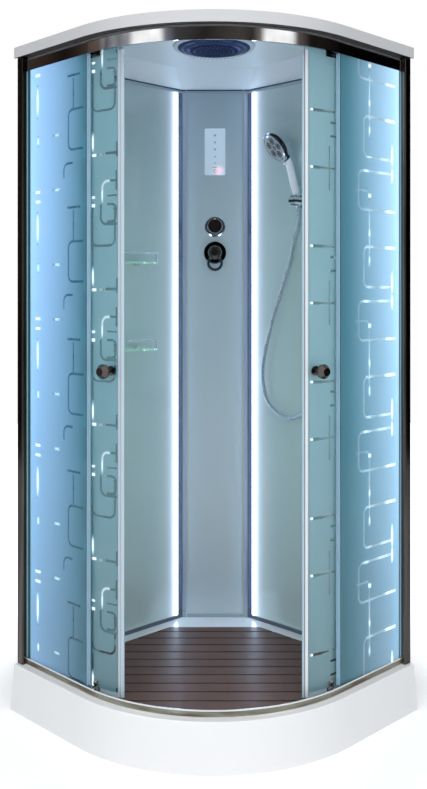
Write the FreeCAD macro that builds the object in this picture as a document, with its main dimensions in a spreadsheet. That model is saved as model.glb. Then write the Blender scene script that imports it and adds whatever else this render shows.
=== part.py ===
# Quadrant corner shower cabin: low tray with a slatted deck, glass back walls, two fixed panes,
# two curved sliding doors on a bent rail, moulded roof with an overhead shower, mixer and handset.
# Frame: millimetres, +Z up, origin under the middle of the plan, walls at -X and +Y, round front at +X -Y.
import FreeCAD, Part
import math
import os
import re
import Sketcher

Vec = FreeCAD.Vector
Rot = FreeCAD.Rotation
Place = FreeCAD.Placement

doc = FreeCAD.newDocument("shower_cabin")

# Driving sizes, in millimetres unless the name says degrees
SIZES = {
    # plan of the cabin
    "foot_side": 900, "bend_radius": 550, "skirt_flare": 12,
    "fit_gap": 0.3, "overrun": 2,
    # tray
    "tray_top": 140, "tray_shell": 5, "basin_deep": 52, "rim_width": 66, "ledge_drop": 18,
    "ledge_width": 70, "basin_cut": 261, "drain_back": 200, "drain_hole_radius": 45,
    # front apron
    "apron_wall": 4, "apron_flange": 20, "apron_round": 3,
    # tray frame and feet, the tubes in from the sides of the plan
    "tube_side": 30, "tube_wall": 2, "frame_back_gap": 105, "frame_front_gap": 270,
    "frame_left_gap": 120, "frame_right_gap": 240, "frame_end_gap": 25, "frame_front_end_gap": 150,
    "frame_reach_gap": 50,
    "foot_pad_radius": 25, "foot_pad_thick": 8, "foot_neck": 6, "foot_rod_radius": 6,
    "nut_across": 19, "nut_thick": 9, "nut_bore_gap": 0.1,
    # drain
    "drain_flange_radius": 56, "drain_neck_radius": 44, "drain_bore_radius": 40, "drain_flange": 2,
    "drain_neck_length": 18, "grate_thick": 3, "grate_slot": 5, "grate_slots_length": 22,
    "grate_slot_count": 10, "trap_radius": 50, "trap_wall": 3, "trap_low": 8, "outlet_radius": 20,
    "outlet_wall": 2, "outlet_step": 1.5, "outlet_clear": 1.5, "outlet_end": 8, "spigot_length": 60,
    # slatted deck
    "deck_drop": 12, "deck_thick": 18, "deck_pitch": 62.2, "deck_slot": 5.2, "deck_rear_slat": 41,
    "deck_least_slat": 10, "deck_clear": 6, "bearer_width": 25, "bearer_inner_offset": 90,
    "bearer_outer_offset": 230, "bearer_gap": 20,
    # back walls
    "wall_inset": 10, "glass": 5, "roof_seat": 2046, "panel_cut": 144.5, "corner_strip": 4,
    "corner_strip_length": 17, "trim_thick": 4, "trim_tall": 12, "led_width": 12, "led_thick": 3,
    "led_margin": 20,
    # wall posts
    "post_inset": 13, "post_depth": 30, "post_width": 28, "post_wall": 2, "post_round": 5,
    "gasket_width": 4, "gasket_wall": 2,
    # rails
    "rail_inset": 24, "rail_face": 2, "top_rail_drop": 47, "rail_depth": 62, "track_inner": 39.2,
    "track_rise": 19, "groove_width": 11, "groove_depth": 11, "lip_wall": 1.6,
    "bottom_rail_tall": 22, "bottom_rail_depth": 36, "lip_tall": 10,
    # fixed panes
    "pane_inset": 30, "pane_gap_end": 12.5, "seal_width": 12, "seal_wall": 1.4, "seal_fin": 9,
    # doors, drawn shut and then turned open about the pole
    "door_inset": 47, "door_turn_degrees": 25.4, "pole_back": 125.8, "pole_up": 39.1,
    "door_foot_rise": 20, "door_top_rise": 13, "door_tail_degrees": 4.3, "magnet_width": 5,
    "magnet_thick": 6, "edge_width": 11, "edge_wall": 2.4, "edge_inset": 1.5, "edge_foot_rise": 10,
    "edge_top_drop": 14, "edge_cap_tall": 14, "drip_tall": 14, "drip_thick": 3, "drip_break": 16,
    "lead_roller_degrees": 12, "tail_roller_degrees": 31,
    "bolt_radius": 3.7, "bolt_gap": 0.3, "top_bolt_rise": 1, "low_bolt_rise": 30,
    "top_wheel_radius": 9, "top_wheel_width": 17.5, "low_wheel_radius": 8.5, "low_wheel_width": 6,
    "axle_radius": 2.5, "low_axle_radius": 2, "axle_gap": 0.06, "wheel_side_gap": 0.4,
    "bracket_thick": 3, "bracket_wide": 24, "cap_radius": 11.5, "cap_deep": 7, "washer_radius": 10,
    "washer_thick": 2, "cover_wide": 44, "cover_tall": 22, "cover_thick": 3,
    "knob_height": 1081, "knob_back_degrees": 5, "knob_ball_radius": 21, "knob_neck_radius": 7,
    "knob_out": 62, "knob_rose_radius": 14, "knob_rose_thick": 5, "knob_inner_radius": 14,
    "knob_inner_deep": 26, "knob_stem_radius": 5,
    # roof
    "roof_rim_drop": 5, "roof_rim_rise": 28, "roof_shell": 5, "dish_rise": 37,
    "dish_wall_low": 16, "dish_free_low": 102, "dish_cut_low": 146, "dish_wall_high": 137,
    "dish_free_high": 205, "dish_cut_high": 327, "roof_hole_gap": 4,
    # overhead shower, its drops down from the ceiling
    "overhead_share": 0.435847, "overhead_radius": 114, "overhead_ring_drop": 8, "overhead_inner_drop": 16,
    "overhead_disc_radius": 77, "overhead_disc_drop": 20, "bezel_wide": 16, "bezel_drop": 6,
    "overhead_wall": 4, "housing_wide": 8, "housing_rise": 49, "housing_crown_radius": 70,
    "inlet_radius": 11, "inlet_rise": 18,
    # controls on the corner panel
    "touch_half_width": 37.5, "touch_tall": 170, "touch_drop": 227, "touch_thick": 8,
    "touch_pitch": 271.6, "diverter_rose_radius": 38, "rose_thick": 8, "diverter_knob_radius": 30.5,
    "diverter_knob_deep": 24, "notch_width": 7, "notch_deep": 6, "stem_radius": 8,
    "control_pitch": 96, "mixer_rose_radius": 40.5, "spindle_radius": 15, "pivot_out": 26,
    "pivot_radius": 6, "pivot_neck": 4, "cap_back": 19, "mixer_cap_radius": 25.5,
    "mixer_cap_deep": 26, "loop_drop": 39, "loop_radius": 24,
    "loop_section": 5, "loop_out": 38, "neck_hole_radius": 24,
    # valve, pipes and power unit behind the corner panel
    "valve_half_width": 48, "valve_below": 56.4, "valve_above": 52.6, "valve_near": 22, "valve_far": 66,
    "valve_neck_radius": 21, "tail_radius": 10.5, "tail_rise": 20, "tail_length": 24, "tail_spread": 32,
    "pipe_radius": 7, "pipe_wall": 1, "pipe_bend": 40, "pipe_hole_radius": 9, "pipe_back": 96,
    "pipe_drop": 9, "feed_radius": 4.4, "feed_bend": 30, "feed_back": 4.9,
    "power_half_width": 60, "power_below": 89, "power_above": 71, "power_deep": 28,
    # handset, its holder and the wall outlet
    "holder_x": 3, "holder_drop": 425, "holder_reach": 60, "holder_radius": 17,
    "holder_base_radius": 22, "holder_base_thick": 8, "holder_side_degrees": 7.5,
    "holder_wall_degrees": 6, "handset_twist_degrees": 19,
    "socket_back": 30, "nut_low_radius": 9, "nut_high_radius": 11.5,
    "nut_half_length": 22, "nut_gap": 0.3, "hose_entry": 58, "hose_radius": 6.5, "hose_bore_gap": 0.6,
    "handle_low_radius": 12.5, "handle_mid_radius": 13.5, "handle_top_radius": 13,
    "handle_mid": 90, "handle_top": 148, "handle_bow": 4, "handle_top_bow": 12,
    "head_forward": 52, "head_up": 190, "head_face_degrees": 116, "head_radius": 55, "head_deep": 24,
    "head_rim": 6, "face_radius": 48, "face_thick": 4, "selector_wide": 16, "selector_long": 12,
    "outlet_x": 150, "outlet_below": 47.4, "outlet_rose_radius": 26, "outlet_rose_thick": 7,
    "outlet_body_radius": 10, "outlet_reach": 34, "outlet_drop": 30, "end_nut_radius": 10,
    "end_nut_length": 16,
    # shelves on the left wall
    "shelf_upper": 1410, "shelf_lower": 1115, "shelf_thick": 6, "shelf_deep": 110, "shelf_long": 300,
    "shelf_in_y": 66, "shelf_round": 30, "shelf_rail_up": 30, "shelf_rail_radius": 3,
    "shelf_rail_inset": 8, "shelf_post_inset": 15, "clip_wide": 14, "clip_tall": 16, "clip_deep": 20,
    "clip_back": 3, "clip_inset": 26, "clip_gap": 0.2,
}

# Sizes worked out from the driving ones
DERIVED = {
    "half_side": "foot_side / 2",
    "bend_x": "half_side - bend_radius",
    "bend_y": "bend_radius - half_side",
    "bend_d": "sqrt(2) * bend_y",
    "corner_d": "sqrt(2) * half_side",
    "rim_line": "half_side - skirt_flare",
    "tray_in": "skirt_flare + apron_wall + fit_gap",
    "basin_floor": "tray_top - basin_deep",
    "ledge_top": "tray_top - ledge_drop",
    "under_floor": "basin_floor - tray_shell",
    "tube_top": "under_floor",
    "tube_low": "under_floor - tube_side",
    "frame_back": "half_side - frame_back_gap",
    "frame_front": "half_side - frame_front_gap",
    "frame_left": "half_side - frame_left_gap",
    "frame_right": "half_side - frame_right_gap",
    "frame_end": "half_side - frame_end_gap",
    "frame_front_end": "half_side - frame_front_end_gap",
    "frame_reach": "half_side - frame_reach_gap",
    "outlet_height": "tube_low - outlet_radius - outlet_step - outlet_clear",
    "deck_top": "tray_top - deck_drop",
    "deck_low": "deck_top - deck_thick",
    "basin_in": "skirt_flare + rim_width",
    "basin_d": "corner_d - basin_cut",
    "wall_face": "half_side - wall_inset - glass",
    "wall_back": "half_side - wall_inset",
    "wall_top": "roof_seat - fit_gap",
    "panel_d": "corner_d - panel_cut",
    "corner_x": "wall_face - sqrt(2) * panel_d",
    "panel_half": "sqrt(2) * wall_face - panel_d",
    "post_face": "rim_line - post_inset",
    "post_in": "post_face - post_depth",
    "post_side": "half_side - post_width",
    "rail_line": "rim_line - rail_inset",
    "bottom_rail_top": "tray_top + bottom_rail_tall",
    "top_rail_low": "roof_seat - top_rail_drop",
    "rail_end": "post_side - fit_gap",
    "pane_face": "rim_line - pane_inset",
    "pane_back": "pane_face - glass",
    "pane_end": "post_side - gasket_wall - fit_gap",
    "pane_start": "bend_y + pane_gap_end",
    "pane_low": "tray_top + rail_face + fit_gap",
    "pane_high": "top_rail_low + groove_depth - fit_gap",
    "track_height": "top_rail_low + track_rise",
    "track_low": "track_height - rail_face",
    "door_low": "tray_top + door_foot_rise",
    "door_high": "top_rail_low + door_top_rise",
    "edge_low": "tray_top + edge_foot_rise",
    "edge_high": "top_rail_low - edge_top_drop",
    "low_bolt_height": "tray_top + low_bolt_rise",
    "top_bolt_height": "top_rail_low + top_bolt_rise",
    "door_out": "bend_radius - skirt_flare - door_inset",
    "door_in": "door_out - glass",
    "pole_x": "bend_x - pole_back",
    "pole_y": "bend_y + pole_up",
    "roof_rim_low": "roof_seat - roof_rim_drop",
    "roof_rim_top": "roof_seat + roof_rim_rise",
    "ceiling": "roof_seat + dish_rise",
    "dish_front_d": "bend_d - bend_radius + dish_free_high",
    "dish_rear_d": "corner_d - dish_cut_high",
    "overhead_d": "dish_front_d + overhead_share * (dish_rear_d - dish_front_d)",
    "roof_hole_radius": "overhead_radius + roof_hole_gap",
    "overhead_ring_low": "ceiling - overhead_ring_drop",
    "overhead_inner_low": "ceiling - overhead_inner_drop",
    "overhead_disc_low": "ceiling - overhead_disc_drop",
    "bezel_radius": "overhead_radius + bezel_wide",
    "bezel_low": "ceiling - bezel_drop",
    "housing_radius": "overhead_radius + housing_wide",
    "housing_top": "ceiling + housing_rise",
    "cabin_top": "housing_top + inlet_rise",
    "pipe_over": "cabin_top - pipe_drop",
    "touch_height": "roof_seat - touch_drop",
    "diverter_height": "touch_height - touch_pitch",
    "holder_height": "roof_seat - holder_drop",
    "mixer_height": "diverter_height - control_pitch",
    "valve_low": "mixer_height - valve_below",
    "valve_high": "diverter_height + valve_above",
    "power_low": "touch_height - power_below",
    "power_high": "touch_height + power_above",
    "outlet_z": "mixer_height - outlet_below",
}


def ex(text):
    """Expression on the sheet for a text of size names."""

    def swap(found):
        word = found.group(0)
        if word in DERIVED:
            return "(" + ex(DERIVED[word]) + ")"
        return "Sizes." + word if word in SIZES else word

    return re.sub(r"[a-z][a-z_0-9]*", swap, str(text))


sheet = doc.addObject("Spreadsheet::Sheet", "Sizes")
for row, (alias, size) in enumerate(SIZES.items(), start=1):
    sheet.set(f"A{row}", alias.replace("_", " "))
    sheet.set(f"B{row}", str(size))
    sheet.setAlias(f"B{row}", alias)
doc.recompute()


def val(text):
    """Number that a text of size names stands for."""
    return float(sheet.evalExpression(ex(text)))


def vec(x, y, z):
    return Vec(val(x), val(y), val(z))


def bind(thing, prop, text):
    thing.setExpression(prop, ex(text))


# Sketches and features
def add_body(name):
    body = doc.addObject("PartDesign::Body", name)
    body.Label = name
    return body


def add_sketch(body, plane="XY_Plane", lift="0"):
    """Sketch on one of the body's planes, lifted along its normal."""
    sketch = body.newObject("Sketcher::SketchObject", body.Name + "_sketch")
    flat = [f for f in body.Origin.OriginFeatures if f.Role == plane][0]
    sketch.AttachmentSupport = (flat, [""])
    sketch.MapMode = "FlatFace"
    bind(sketch, ".AttachmentOffset.Base.z", lift)
    return sketch


def pin_point(sketch, index, end, x, y):
    """Ties one end of a line or arc to its place; a coordinate of None is left to the arc."""
    for kind, text in (("DistanceX", x), ("DistanceY", y)):
        if text is None:
            continue
        number = val(text)
        place = sketch.addConstraint(Sketcher.Constraint(kind, -1, 1, index, end, number))
        sketch.setExpression(f"Constraints[{place}]", ex(text))


def draw(sketch, path, closed=True):
    """Line and arc outline. A corner is (x, y) or, reached by an arc, (x, y, centre x, centre y, turn).

    turn is 1 for an arc that turns left and -1 for one that turns right. Only the longer reach of an
    arc's end from its centre is left free, because the arc gives it.
    """
    spots = [Vec(val(c[0]), val(c[1]), 0) for c in path]
    ends = []
    count = len(path)
    for i in range(count):
        if i == 0 and not closed:
            continue
        here, before, corner = spots[i], spots[i - 1], path[i]
        if len(corner) == 2:
            index = sketch.addGeometry(Part.LineSegment(before, here), False)
            ends.append((index, 1, 2, corner))
            continue
        middle = Vec(val(corner[2]), val(corner[3]), 0)
        start = math.atan2(before.y - middle.y, before.x - middle.x)
        stop = math.atan2(here.y - middle.y, here.x - middle.x)
        ring = Part.Circle(middle, Vec(0, 0, 1), (before - middle).Length)
        if corner[4] > 0:
            index = sketch.addGeometry(Part.ArcOfCircle(ring, start, stop), False)
            ends.append((index, 1, 2, corner))
        else:
            index = sketch.addGeometry(Part.ArcOfCircle(ring, stop, start), False)
            ends.append((index, 2, 1, corner))
        pin_point(sketch, index, 3, corner[2], corner[3])
    for j, (index, start, stop, corner) in enumerate(ends):
        if closed or j + 1 < len(ends):
            after = ends[(j + 1) % len(ends)]
            sketch.addConstraint(Sketcher.Constraint("Coincident", index, stop, after[0], after[1]))
        x, y = corner[0], corner[1]
        if len(corner) == 5:
            across = abs(val(corner[0]) - val(corner[2]))
            along = abs(val(corner[1]) - val(corner[3]))
            x, y = (None, y) if across > along else (x, None)
        pin_point(sketch, index, stop, x, y)
    if not closed:
        pin_point(sketch, ends[0][0], ends[0][1], path[0][0], path[0][1])


def draw_circle(sketch, x, y, radius):
    index = sketch.addGeometry(Part.Circle(Vec(val(x), val(y), 0), Vec(0, 0, 1), val(radius)), False)
    pin_point(sketch, index, 3, x, y)
    place = sketch.addConstraint(Sketcher.Constraint("Radius", index, val(radius)))
    sketch.setExpression(f"Constraints[{place}]", ex(radius))


def extrude(body, sketch, length, kind="Pad", flip=False):
    """Pad or Pocket. Left unflipped, a pad goes along the sketch's normal and a pocket against it."""
    feature = body.newObject("PartDesign::" + kind, body.Name + "_" + kind.lower())
    feature.Profile = sketch
    bind(feature, "Length", length)
    feature.Reversed = flip
    return feature


def block(name, path, low, high, plane="XY_Plane"):
    """Body of one outline, from low to high along its plane's normal."""
    body = add_body(name)
    sketch = add_sketch(body, plane, low)
    draw(sketch, path)
    extrude(body, sketch, f"({high}) - ({low})")
    return body


def turned(name, path):
    """Body turned about its own Z axis from a profile of (radius, height) corners."""
    body = add_body(name)
    sketch = add_sketch(body, "XZ_Plane")
    draw(sketch, path)
    feature = body.newObject("PartDesign::Revolution", name + "_turn")
    feature.Profile = sketch
    feature.ReferenceAxis = (sketch, ["V_Axis"])
    return body


def cylinder(name, radius, height, base=Vec(0, 0, 0), axis=Vec(0, 0, 1)):
    rod = doc.addObject("Part::Cylinder", name)
    bind(rod, "Radius", radius)
    bind(rod, "Height", height)
    rod.Placement = Place(base, Rot(Vec(0, 0, 1), axis))
    return rod


def cuboid(name, low, high):
    """Box between two corners given as texts."""
    box = doc.addObject("Part::Box", name)
    for prop, a, b in zip(("Length", "Width", "Height"), low, high):
        bind(box, prop, f"({b}) - ({a})")
    for axis, a in zip("xyz", low):
        bind(box, ".Placement.Base." + axis, a)
    return box


def cut(name, base, tool):
    """base less tool, where tool is one object or a list of them."""
    result = doc.addObject("Part::Cut", name)
    result.Base = base
    result.Tool = group(name + "_tools", tool) if isinstance(tool, list) else tool
    return result


def group(name, pieces):
    result = doc.addObject("Part::Compound", name)
    result.Links = pieces
    return result


def fuse(name, pieces):
    result = doc.addObject("Part::MultiFuse", name)
    result.Shapes = pieces
    return result


def mirror(name, source):
    """Copy across the upright plane through the room corner and the middle of the front."""
    result = doc.addObject("Part::Mirroring", name)
    result.Source = source
    result.Base = Vec(0, 0, 0)
    result.Normal = Vec(1, 1, 0)
    return result


def edges_where(shape, test):
    return [f"Edge{i}" for i, edge in enumerate(shape.Edges, start=1) if test(edge)]


def round_edges(body, radius, test):
    """Fillet on the edges of the body's tip that pass the test."""
    doc.recompute()
    tip = body.Tip
    feature = body.newObject("PartDesign::Fillet", body.Name + "_round")
    feature.Base = (tip, edges_where(tip.Shape, test))
    bind(feature, "Radius", radius)
    return feature


PARTS = {}


def keep(name, thing, place=None):
    """Names a finished sub-part, and moves it if it was drawn elsewhere."""
    thing.Label = name
    if place is not None:
        thing.Placement = place
    PARTS[name] = thing
    return thing


def keep_pair(stem, thing, place=None):
    """The right-hand piece as drawn, and its mirrored twin, as two sub-parts."""
    right = keep(stem + "_right", thing, place)
    keep(stem + "_left", mirror(stem + "_left", right))


def keep_both(name, pieces):
    """Fixed pieces of the right-hand side with their mirrored twins, as one sub-part."""
    twins = [mirror(f"{name}_twin_{i}", piece) for i, piece in enumerate(pieces)]
    keep(name, group(name, pieces + twins))


# Places in the plan
def plan(wall, free, cut_at=None):
    """Plan outline, in from the walls and from the free sides, with its room corner cut off if asked."""
    back = f"half_side - ({wall})"
    right = f"half_side - ({free})"
    path = [(right, back)]
    if cut_at is None:
        path.append((f"-({back})", back))
    else:
        path.append((f"{back} - sqrt(2) * ({cut_at})", back))
        path.append((f"-({back})", f"sqrt(2) * ({cut_at}) - ({back})"))
    path += [
        (f"-({back})", f"-({right})"),
        ("bend_x", f"-({right})"),
        (right, "bend_y", "bend_x", "bend_y", 1),
    ]
    return path


TURN_DIAGONAL = Place(Vec(0, 0, 0), Rot(Vec(0, 0, 1), 45))
OUTWARD = Vec(1, -1, 0).normalize()


def on_diagonal(u, d, z):
    """Point from its place across and along the diagonal through the room corner."""
    return TURN_DIAGONAL.multVec(vec(u, d, z))


def facing(point, axis, up=Vec(0, 0, 1)):
    """Placement whose Z is the axis and whose Y is as near up as it can be."""
    z = Vec(axis).normalize()
    x = up.cross(z).normalize()
    return Place(point, Rot(x, z.cross(x), z, "ZXY"))


def rail_path(line):
    """Open path of a rail whose outer face lies on the line, from the right post round to the left one."""
    return [
        (line, "rail_end"),
        (line, "bend_y"),
        ("bend_x", f"-({line})", "bend_x", "bend_y", -1),
        ("-rail_end", f"-({line})"),
    ]


def swept(name, profile, path, start):
    """Body swept along a flat path from a profile standing at its start."""
    body = add_body(name)
    spine = add_sketch(body)
    draw(spine, path, closed=False)
    section = add_sketch(body, "XZ_Plane", f"-({start})")
    draw(section, profile)
    pipe = body.newObject("PartDesign::AdditivePipe", name + "_pipe")
    pipe.Profile = section
    pipe.Spine = (spine, [f"Edge{i}" for i in range(1, len(path))])
    return body


# Tubes along a hand-chosen route
def rounded_route(points, bend=None, reach_share=0.45):
    """Wire of straight runs joined by tangent arcs, as large as the shorter run allows or of one radius."""
    edges = []
    radii = []
    last = points[0]
    for before, here, after in zip(points, points[1:], points[2:]):
        run_in, run_out = (here - before), (after - here)
        half = run_in.getAngle(run_out) / 2
        reach = reach_share * min(run_in.Length, run_out.Length)
        if bend is not None:
            reach = min(reach, bend * math.tan(half))
        radii.append(reach / math.tan(half))
        run_in.normalize()
        run_out.normalize()
        enter = here - run_in * reach
        leave = here + run_out * reach
        inward = (run_out - run_in).normalize()
        middle = here + inward * (radii[-1] / math.cos(half) - radii[-1])
        edges.append(Part.LineSegment(last, enter).toShape())
        edges.append(Part.Arc(enter, middle, leave).toShape())
        last = leave
    edges.append(Part.LineSegment(last, points[-1]).toShape())
    return Part.Wire(edges), radii


def tube(name, points, radius, bore=None, bend=None):
    """Round tube along the route; its volume is compared with its section times its length."""
    wire, radii = rounded_route(points, bend)
    start = (points[1] - points[0]).normalize()
    ring = Part.Wire(Part.Circle(points[0], start, radius).toShape())
    solid = Part.Wire(wire.Edges).makePipeShell([ring], True, False)
    area = math.pi * radius ** 2
    if bore is not None:
        hole = Part.Wire(Part.Circle(points[0], start, bore).toShape())
        solid = solid.cut(Part.Wire(wire.Edges).makePipeShell([hole], True, False))
        area -= math.pi * bore ** 2
    least = min(radii) if radii else 0
    print(f"{name}: length {wire.Length:.0f}, least bend radius {least:.0f}, "
          f"volume share {solid.Volume / (area * wire.Length):.4f}")
    thing = doc.addObject("Part::Feature", name)
    thing.Shape = solid
    return thing


# Tray and what carries it
def make_tray():
    body = add_body("shower_tray")
    solid = add_sketch(body, lift="under_floor")
    draw(solid, plan("0", "tray_in"))
    extrude(body, solid, "tray_top - under_floor")
    wall_in = "half_side - ledge_width"
    ledge = add_sketch(body, lift="tray_top")
    draw(ledge, [
        ("post_in", "half_side"),
        ("-half_side", "half_side"),
        ("-half_side", "-post_in"),
        (f"-({wall_in})", "-post_in"),
        (f"-({wall_in})", f"sqrt(2) * basin_d - ({wall_in})"),
        (f"{wall_in} - sqrt(2) * basin_d", wall_in),
        ("post_in", wall_in),
    ])
    extrude(body, ledge, "tray_top - ledge_top", "Pocket")
    basin = add_sketch(body, lift="tray_top")
    draw(basin, plan("ledge_width", "basin_in", "basin_d"))
    extrude(body, basin, "tray_top - basin_floor", "Pocket")
    shell_in = "ledge_width - tray_shell"
    hollow = add_sketch(body, lift="under_floor")
    draw(hollow, plan("tray_shell", "tray_in + tray_shell"))
    draw(hollow, plan(shell_in, "basin_in - tray_shell", "basin_d + tray_shell"))
    extrude(body, hollow, "ledge_top - tray_shell - under_floor", "Pocket", True)
    out_line = "half_side - tray_in - tray_shell"
    in_line = "half_side - basin_in + tray_shell"
    rim = add_sketch(body, lift="under_floor")
    draw(rim, [
        (out_line, wall_in),
        (in_line, wall_in),
        (in_line, "bend_y"),
        ("bend_x", f"-({in_line})", "bend_x", "bend_y", -1),
        (f"-({wall_in})", f"-({in_line})"),
        (f"-({wall_in})", f"-({out_line})"),
        ("bend_x", f"-({out_line})"),
        (out_line, "bend_y", "bend_x", "bend_y", 1),
    ])
    extrude(body, rim, "tray_top - tray_shell - under_floor", "Pocket", True)
    drain = add_sketch(body, lift="basin_floor")
    draw_circle(drain, "-drain_back / sqrt(2)", "drain_back / sqrt(2)", "drain_hole_radius")
    extrude(body, drain, "tray_shell + overrun", "Pocket")
    keep("shower_tray", body)


def make_apron():
    profile = [
        ("half_side", "0"),
        ("rim_line", "tray_top - apron_round"),
        ("rim_line - apron_round", "tray_top", "rim_line - apron_round", "tray_top - apron_round", 1),
        ("rim_line - apron_wall", "tray_top"),
        ("half_side - apron_wall", "apron_wall"),
        ("half_side - apron_flange", "apron_wall"),
        ("half_side - apron_flange", "0"),
    ]
    path = [
        ("half_side", "half_side"),
        ("half_side", "bend_y"),
        ("bend_x", "-half_side", "bend_x", "bend_y", -1),
        ("-half_side", "-half_side"),
    ]
    keep("front_apron", swept("front_apron", profile, path, "half_side"))


def square_tube(name, low, high, along):
    """Hollow square tube between two corners, open along one axis."""
    outer = cuboid(name + "_outer", low, high)
    inner_low, inner_high = [], []
    for axis, a, b in zip("xyz", low, high):
        inner_low.append(f"{a} - overrun" if axis == along else f"{a} + tube_wall")
        inner_high.append(f"{b} + overrun" if axis == along else f"{b} - tube_wall")
    return cut(name, outer, cuboid(name + "_inner", inner_low, inner_high))


def make_frame():
    half = "tube_side / 2"
    tubes = []
    for name, y, x_low, x_high in (
        ("frame_back_tube", "frame_back", "-frame_end", "frame_reach"),
        ("frame_front_tube", "-frame_front", "-frame_end", "frame_front_end"),
    ):
        low = (x_low, f"{y} - {half}", "tube_low")
        high = (x_high, f"{y} + {half}", "tube_top")
        tubes.append(square_tube(name, low, high, "x"))
    for name, x, y_low, y_high in (
        ("frame_left_tube", "-frame_left", f"{half} - frame_front", f"frame_back - {half}"),
        ("frame_right_tube", "frame_right", f"{half} - frame_front", f"frame_back - {half}"),
        ("frame_stub_tube", "-frame_left", "-frame_reach", f"-frame_front - {half}"),
    ):
        low = (f"{x} - {half}", y_low, "tube_low")
        high = (f"{x} + {half}", y_high, "tube_top")
        tubes.append(square_tube(name, low, high, "y"))
    keep("tray_frame", group("tray_frame", tubes))


FOOT_PLACES = [
    ("tube_side - frame_end", "frame_back"),
    ("frame_reach - tube_side", "frame_back"),
    ("tube_side - frame_end", "-frame_front"),
    ("frame_front_end - tube_side", "-frame_front"),
    ("-frame_left", "tube_side - frame_reach"),
]


def make_feet():
    feet, nuts = [], []
    for i, (x, y) in enumerate(FOOT_PLACES, start=1):
        foot = turned(f"foot_{i}", [
            ("0", "0"),
            ("foot_pad_radius", "0"),
            ("foot_pad_radius", "foot_pad_thick"),
            ("foot_rod_radius", "foot_pad_thick + foot_neck"),
            ("foot_rod_radius", "tube_low - fit_gap"),
            ("0", "tube_low - fit_gap"),
        ])
        foot.Placement = Place(vec(x, y, "0"), Rot())
        feet.append(foot)
        nut = add_body(f"nut_{i}")
        sketch = add_sketch(nut, lift="tube_low - fit_gap - nut_thick")
        corners = []
        for k in range(6):
            corners.append((f"nut_across / sqrt(3) * cos({60 * k})", f"nut_across / sqrt(3) * sin({60 * k})"))
        draw(sketch, corners)
        draw_circle(sketch, "0", "0", "foot_rod_radius + nut_bore_gap")
        extrude(nut, sketch, "nut_thick")
        nut.Placement = Place(vec(x, y, "0"), Rot())
        nuts.append(nut)
    keep("levelling_feet", group("levelling_feet", feet + nuts))


def make_drain():
    centre = on_diagonal("0", "drain_back", "0")
    ring = turned("drain_ring", [
        ("drain_bore_radius", "basin_floor + drain_flange"),
        ("drain_bore_radius", "basin_floor - grate_thick"),
        ("drain_bore_radius - drain_flange", "basin_floor - grate_thick"),
        ("drain_bore_radius - drain_flange", "basin_floor - drain_neck_length"),
        ("drain_neck_radius", "basin_floor - drain_neck_length"),
        ("drain_neck_radius", "basin_floor"),
        ("drain_flange_radius", "basin_floor"),
        ("drain_flange_radius - drain_flange", "basin_floor + drain_flange"),
    ])
    grate = add_body("grate")
    disc = add_sketch(grate, lift="basin_floor - grate_thick + fit_gap")
    draw_circle(disc, "0", "0", "drain_bore_radius - fit_gap")
    extrude(grate, disc, "grate_thick")
    slot = add_sketch(grate, lift="basin_floor + fit_gap")
    near = "grate_slot * 2"
    far = "grate_slot * 2 + grate_slots_length"
    draw(slot, [
        (near, "-grate_slot / 2"),
        (far, "-grate_slot / 2"),
        (far, "grate_slot / 2"),
        (near, "grate_slot / 2"),
    ])
    opening = extrude(grate, slot, "grate_thick + overrun", "Pocket")
    doc.recompute()
    ring_of = grate.newObject("PartDesign::PolarPattern", "grate_slots")
    ring_of.Originals = [opening]
    ring_of.Axis = (disc, ["N_Axis"])
    bind(ring_of, "Occurrences", "grate_slot_count")
    grate.Tip = ring_of
    keep("drain_grate", group("drain_grate", [ring, grate]), Place(centre, Rot()))
    cup = turned("drain_cup", [
        ("0", "trap_low"),
        ("trap_radius", "trap_low"),
        ("trap_radius", "under_floor - trap_wall"),
        ("drain_flange_radius", "under_floor - trap_wall"),
        ("drain_flange_radius", "under_floor - fit_gap"),
        ("drain_neck_radius + fit_gap", "under_floor - fit_gap"),
        ("trap_radius - trap_wall", "under_floor - drain_neck_length"),
        ("trap_radius - trap_wall", "trap_low + trap_wall"),
        ("0", "trap_low + trap_wall"),
    ])
    cup.Placement = Place(centre, Rot())
    reach = "half_side - outlet_end - drain_back / sqrt(2)"
    start = centre + vec("0", "0", "outlet_height")
    spigot = cylinder("outlet_spigot", "outlet_radius", reach, start, Vec(-1, 0, 0))
    run = cylinder("outlet_run", "outlet_radius + outlet_step", f"{reach} - spigot_length", start,
                   Vec(-1, 0, 0))
    hollow = cylinder("outlet_hollow", "outlet_radius - outlet_wall", f"{reach} + overrun", start,
                      Vec(-1, 0, 0))
    room = cylinder("cup_room", "trap_radius - trap_wall", "outlet_height + outlet_radius",
                    centre + vec("0", "0", "trap_low + trap_wall"))
    keep("drain_trap", cut("drain_trap", fuse("trap_outer", [cup, run, spigot]), [hollow, room]))


def diagonal_box(name, low, high):
    """Box between two corners given across the diagonal, along it and up."""
    box = doc.addObject("Part::Box", name)
    for prop, a, b in zip(("Length", "Width", "Height"), low, high):
        bind(box, prop, f"({b}) - ({a})")
    box.Placement = Place(on_diagonal(*low), TURN_DIAGONAL.Rotation)
    return box


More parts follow.
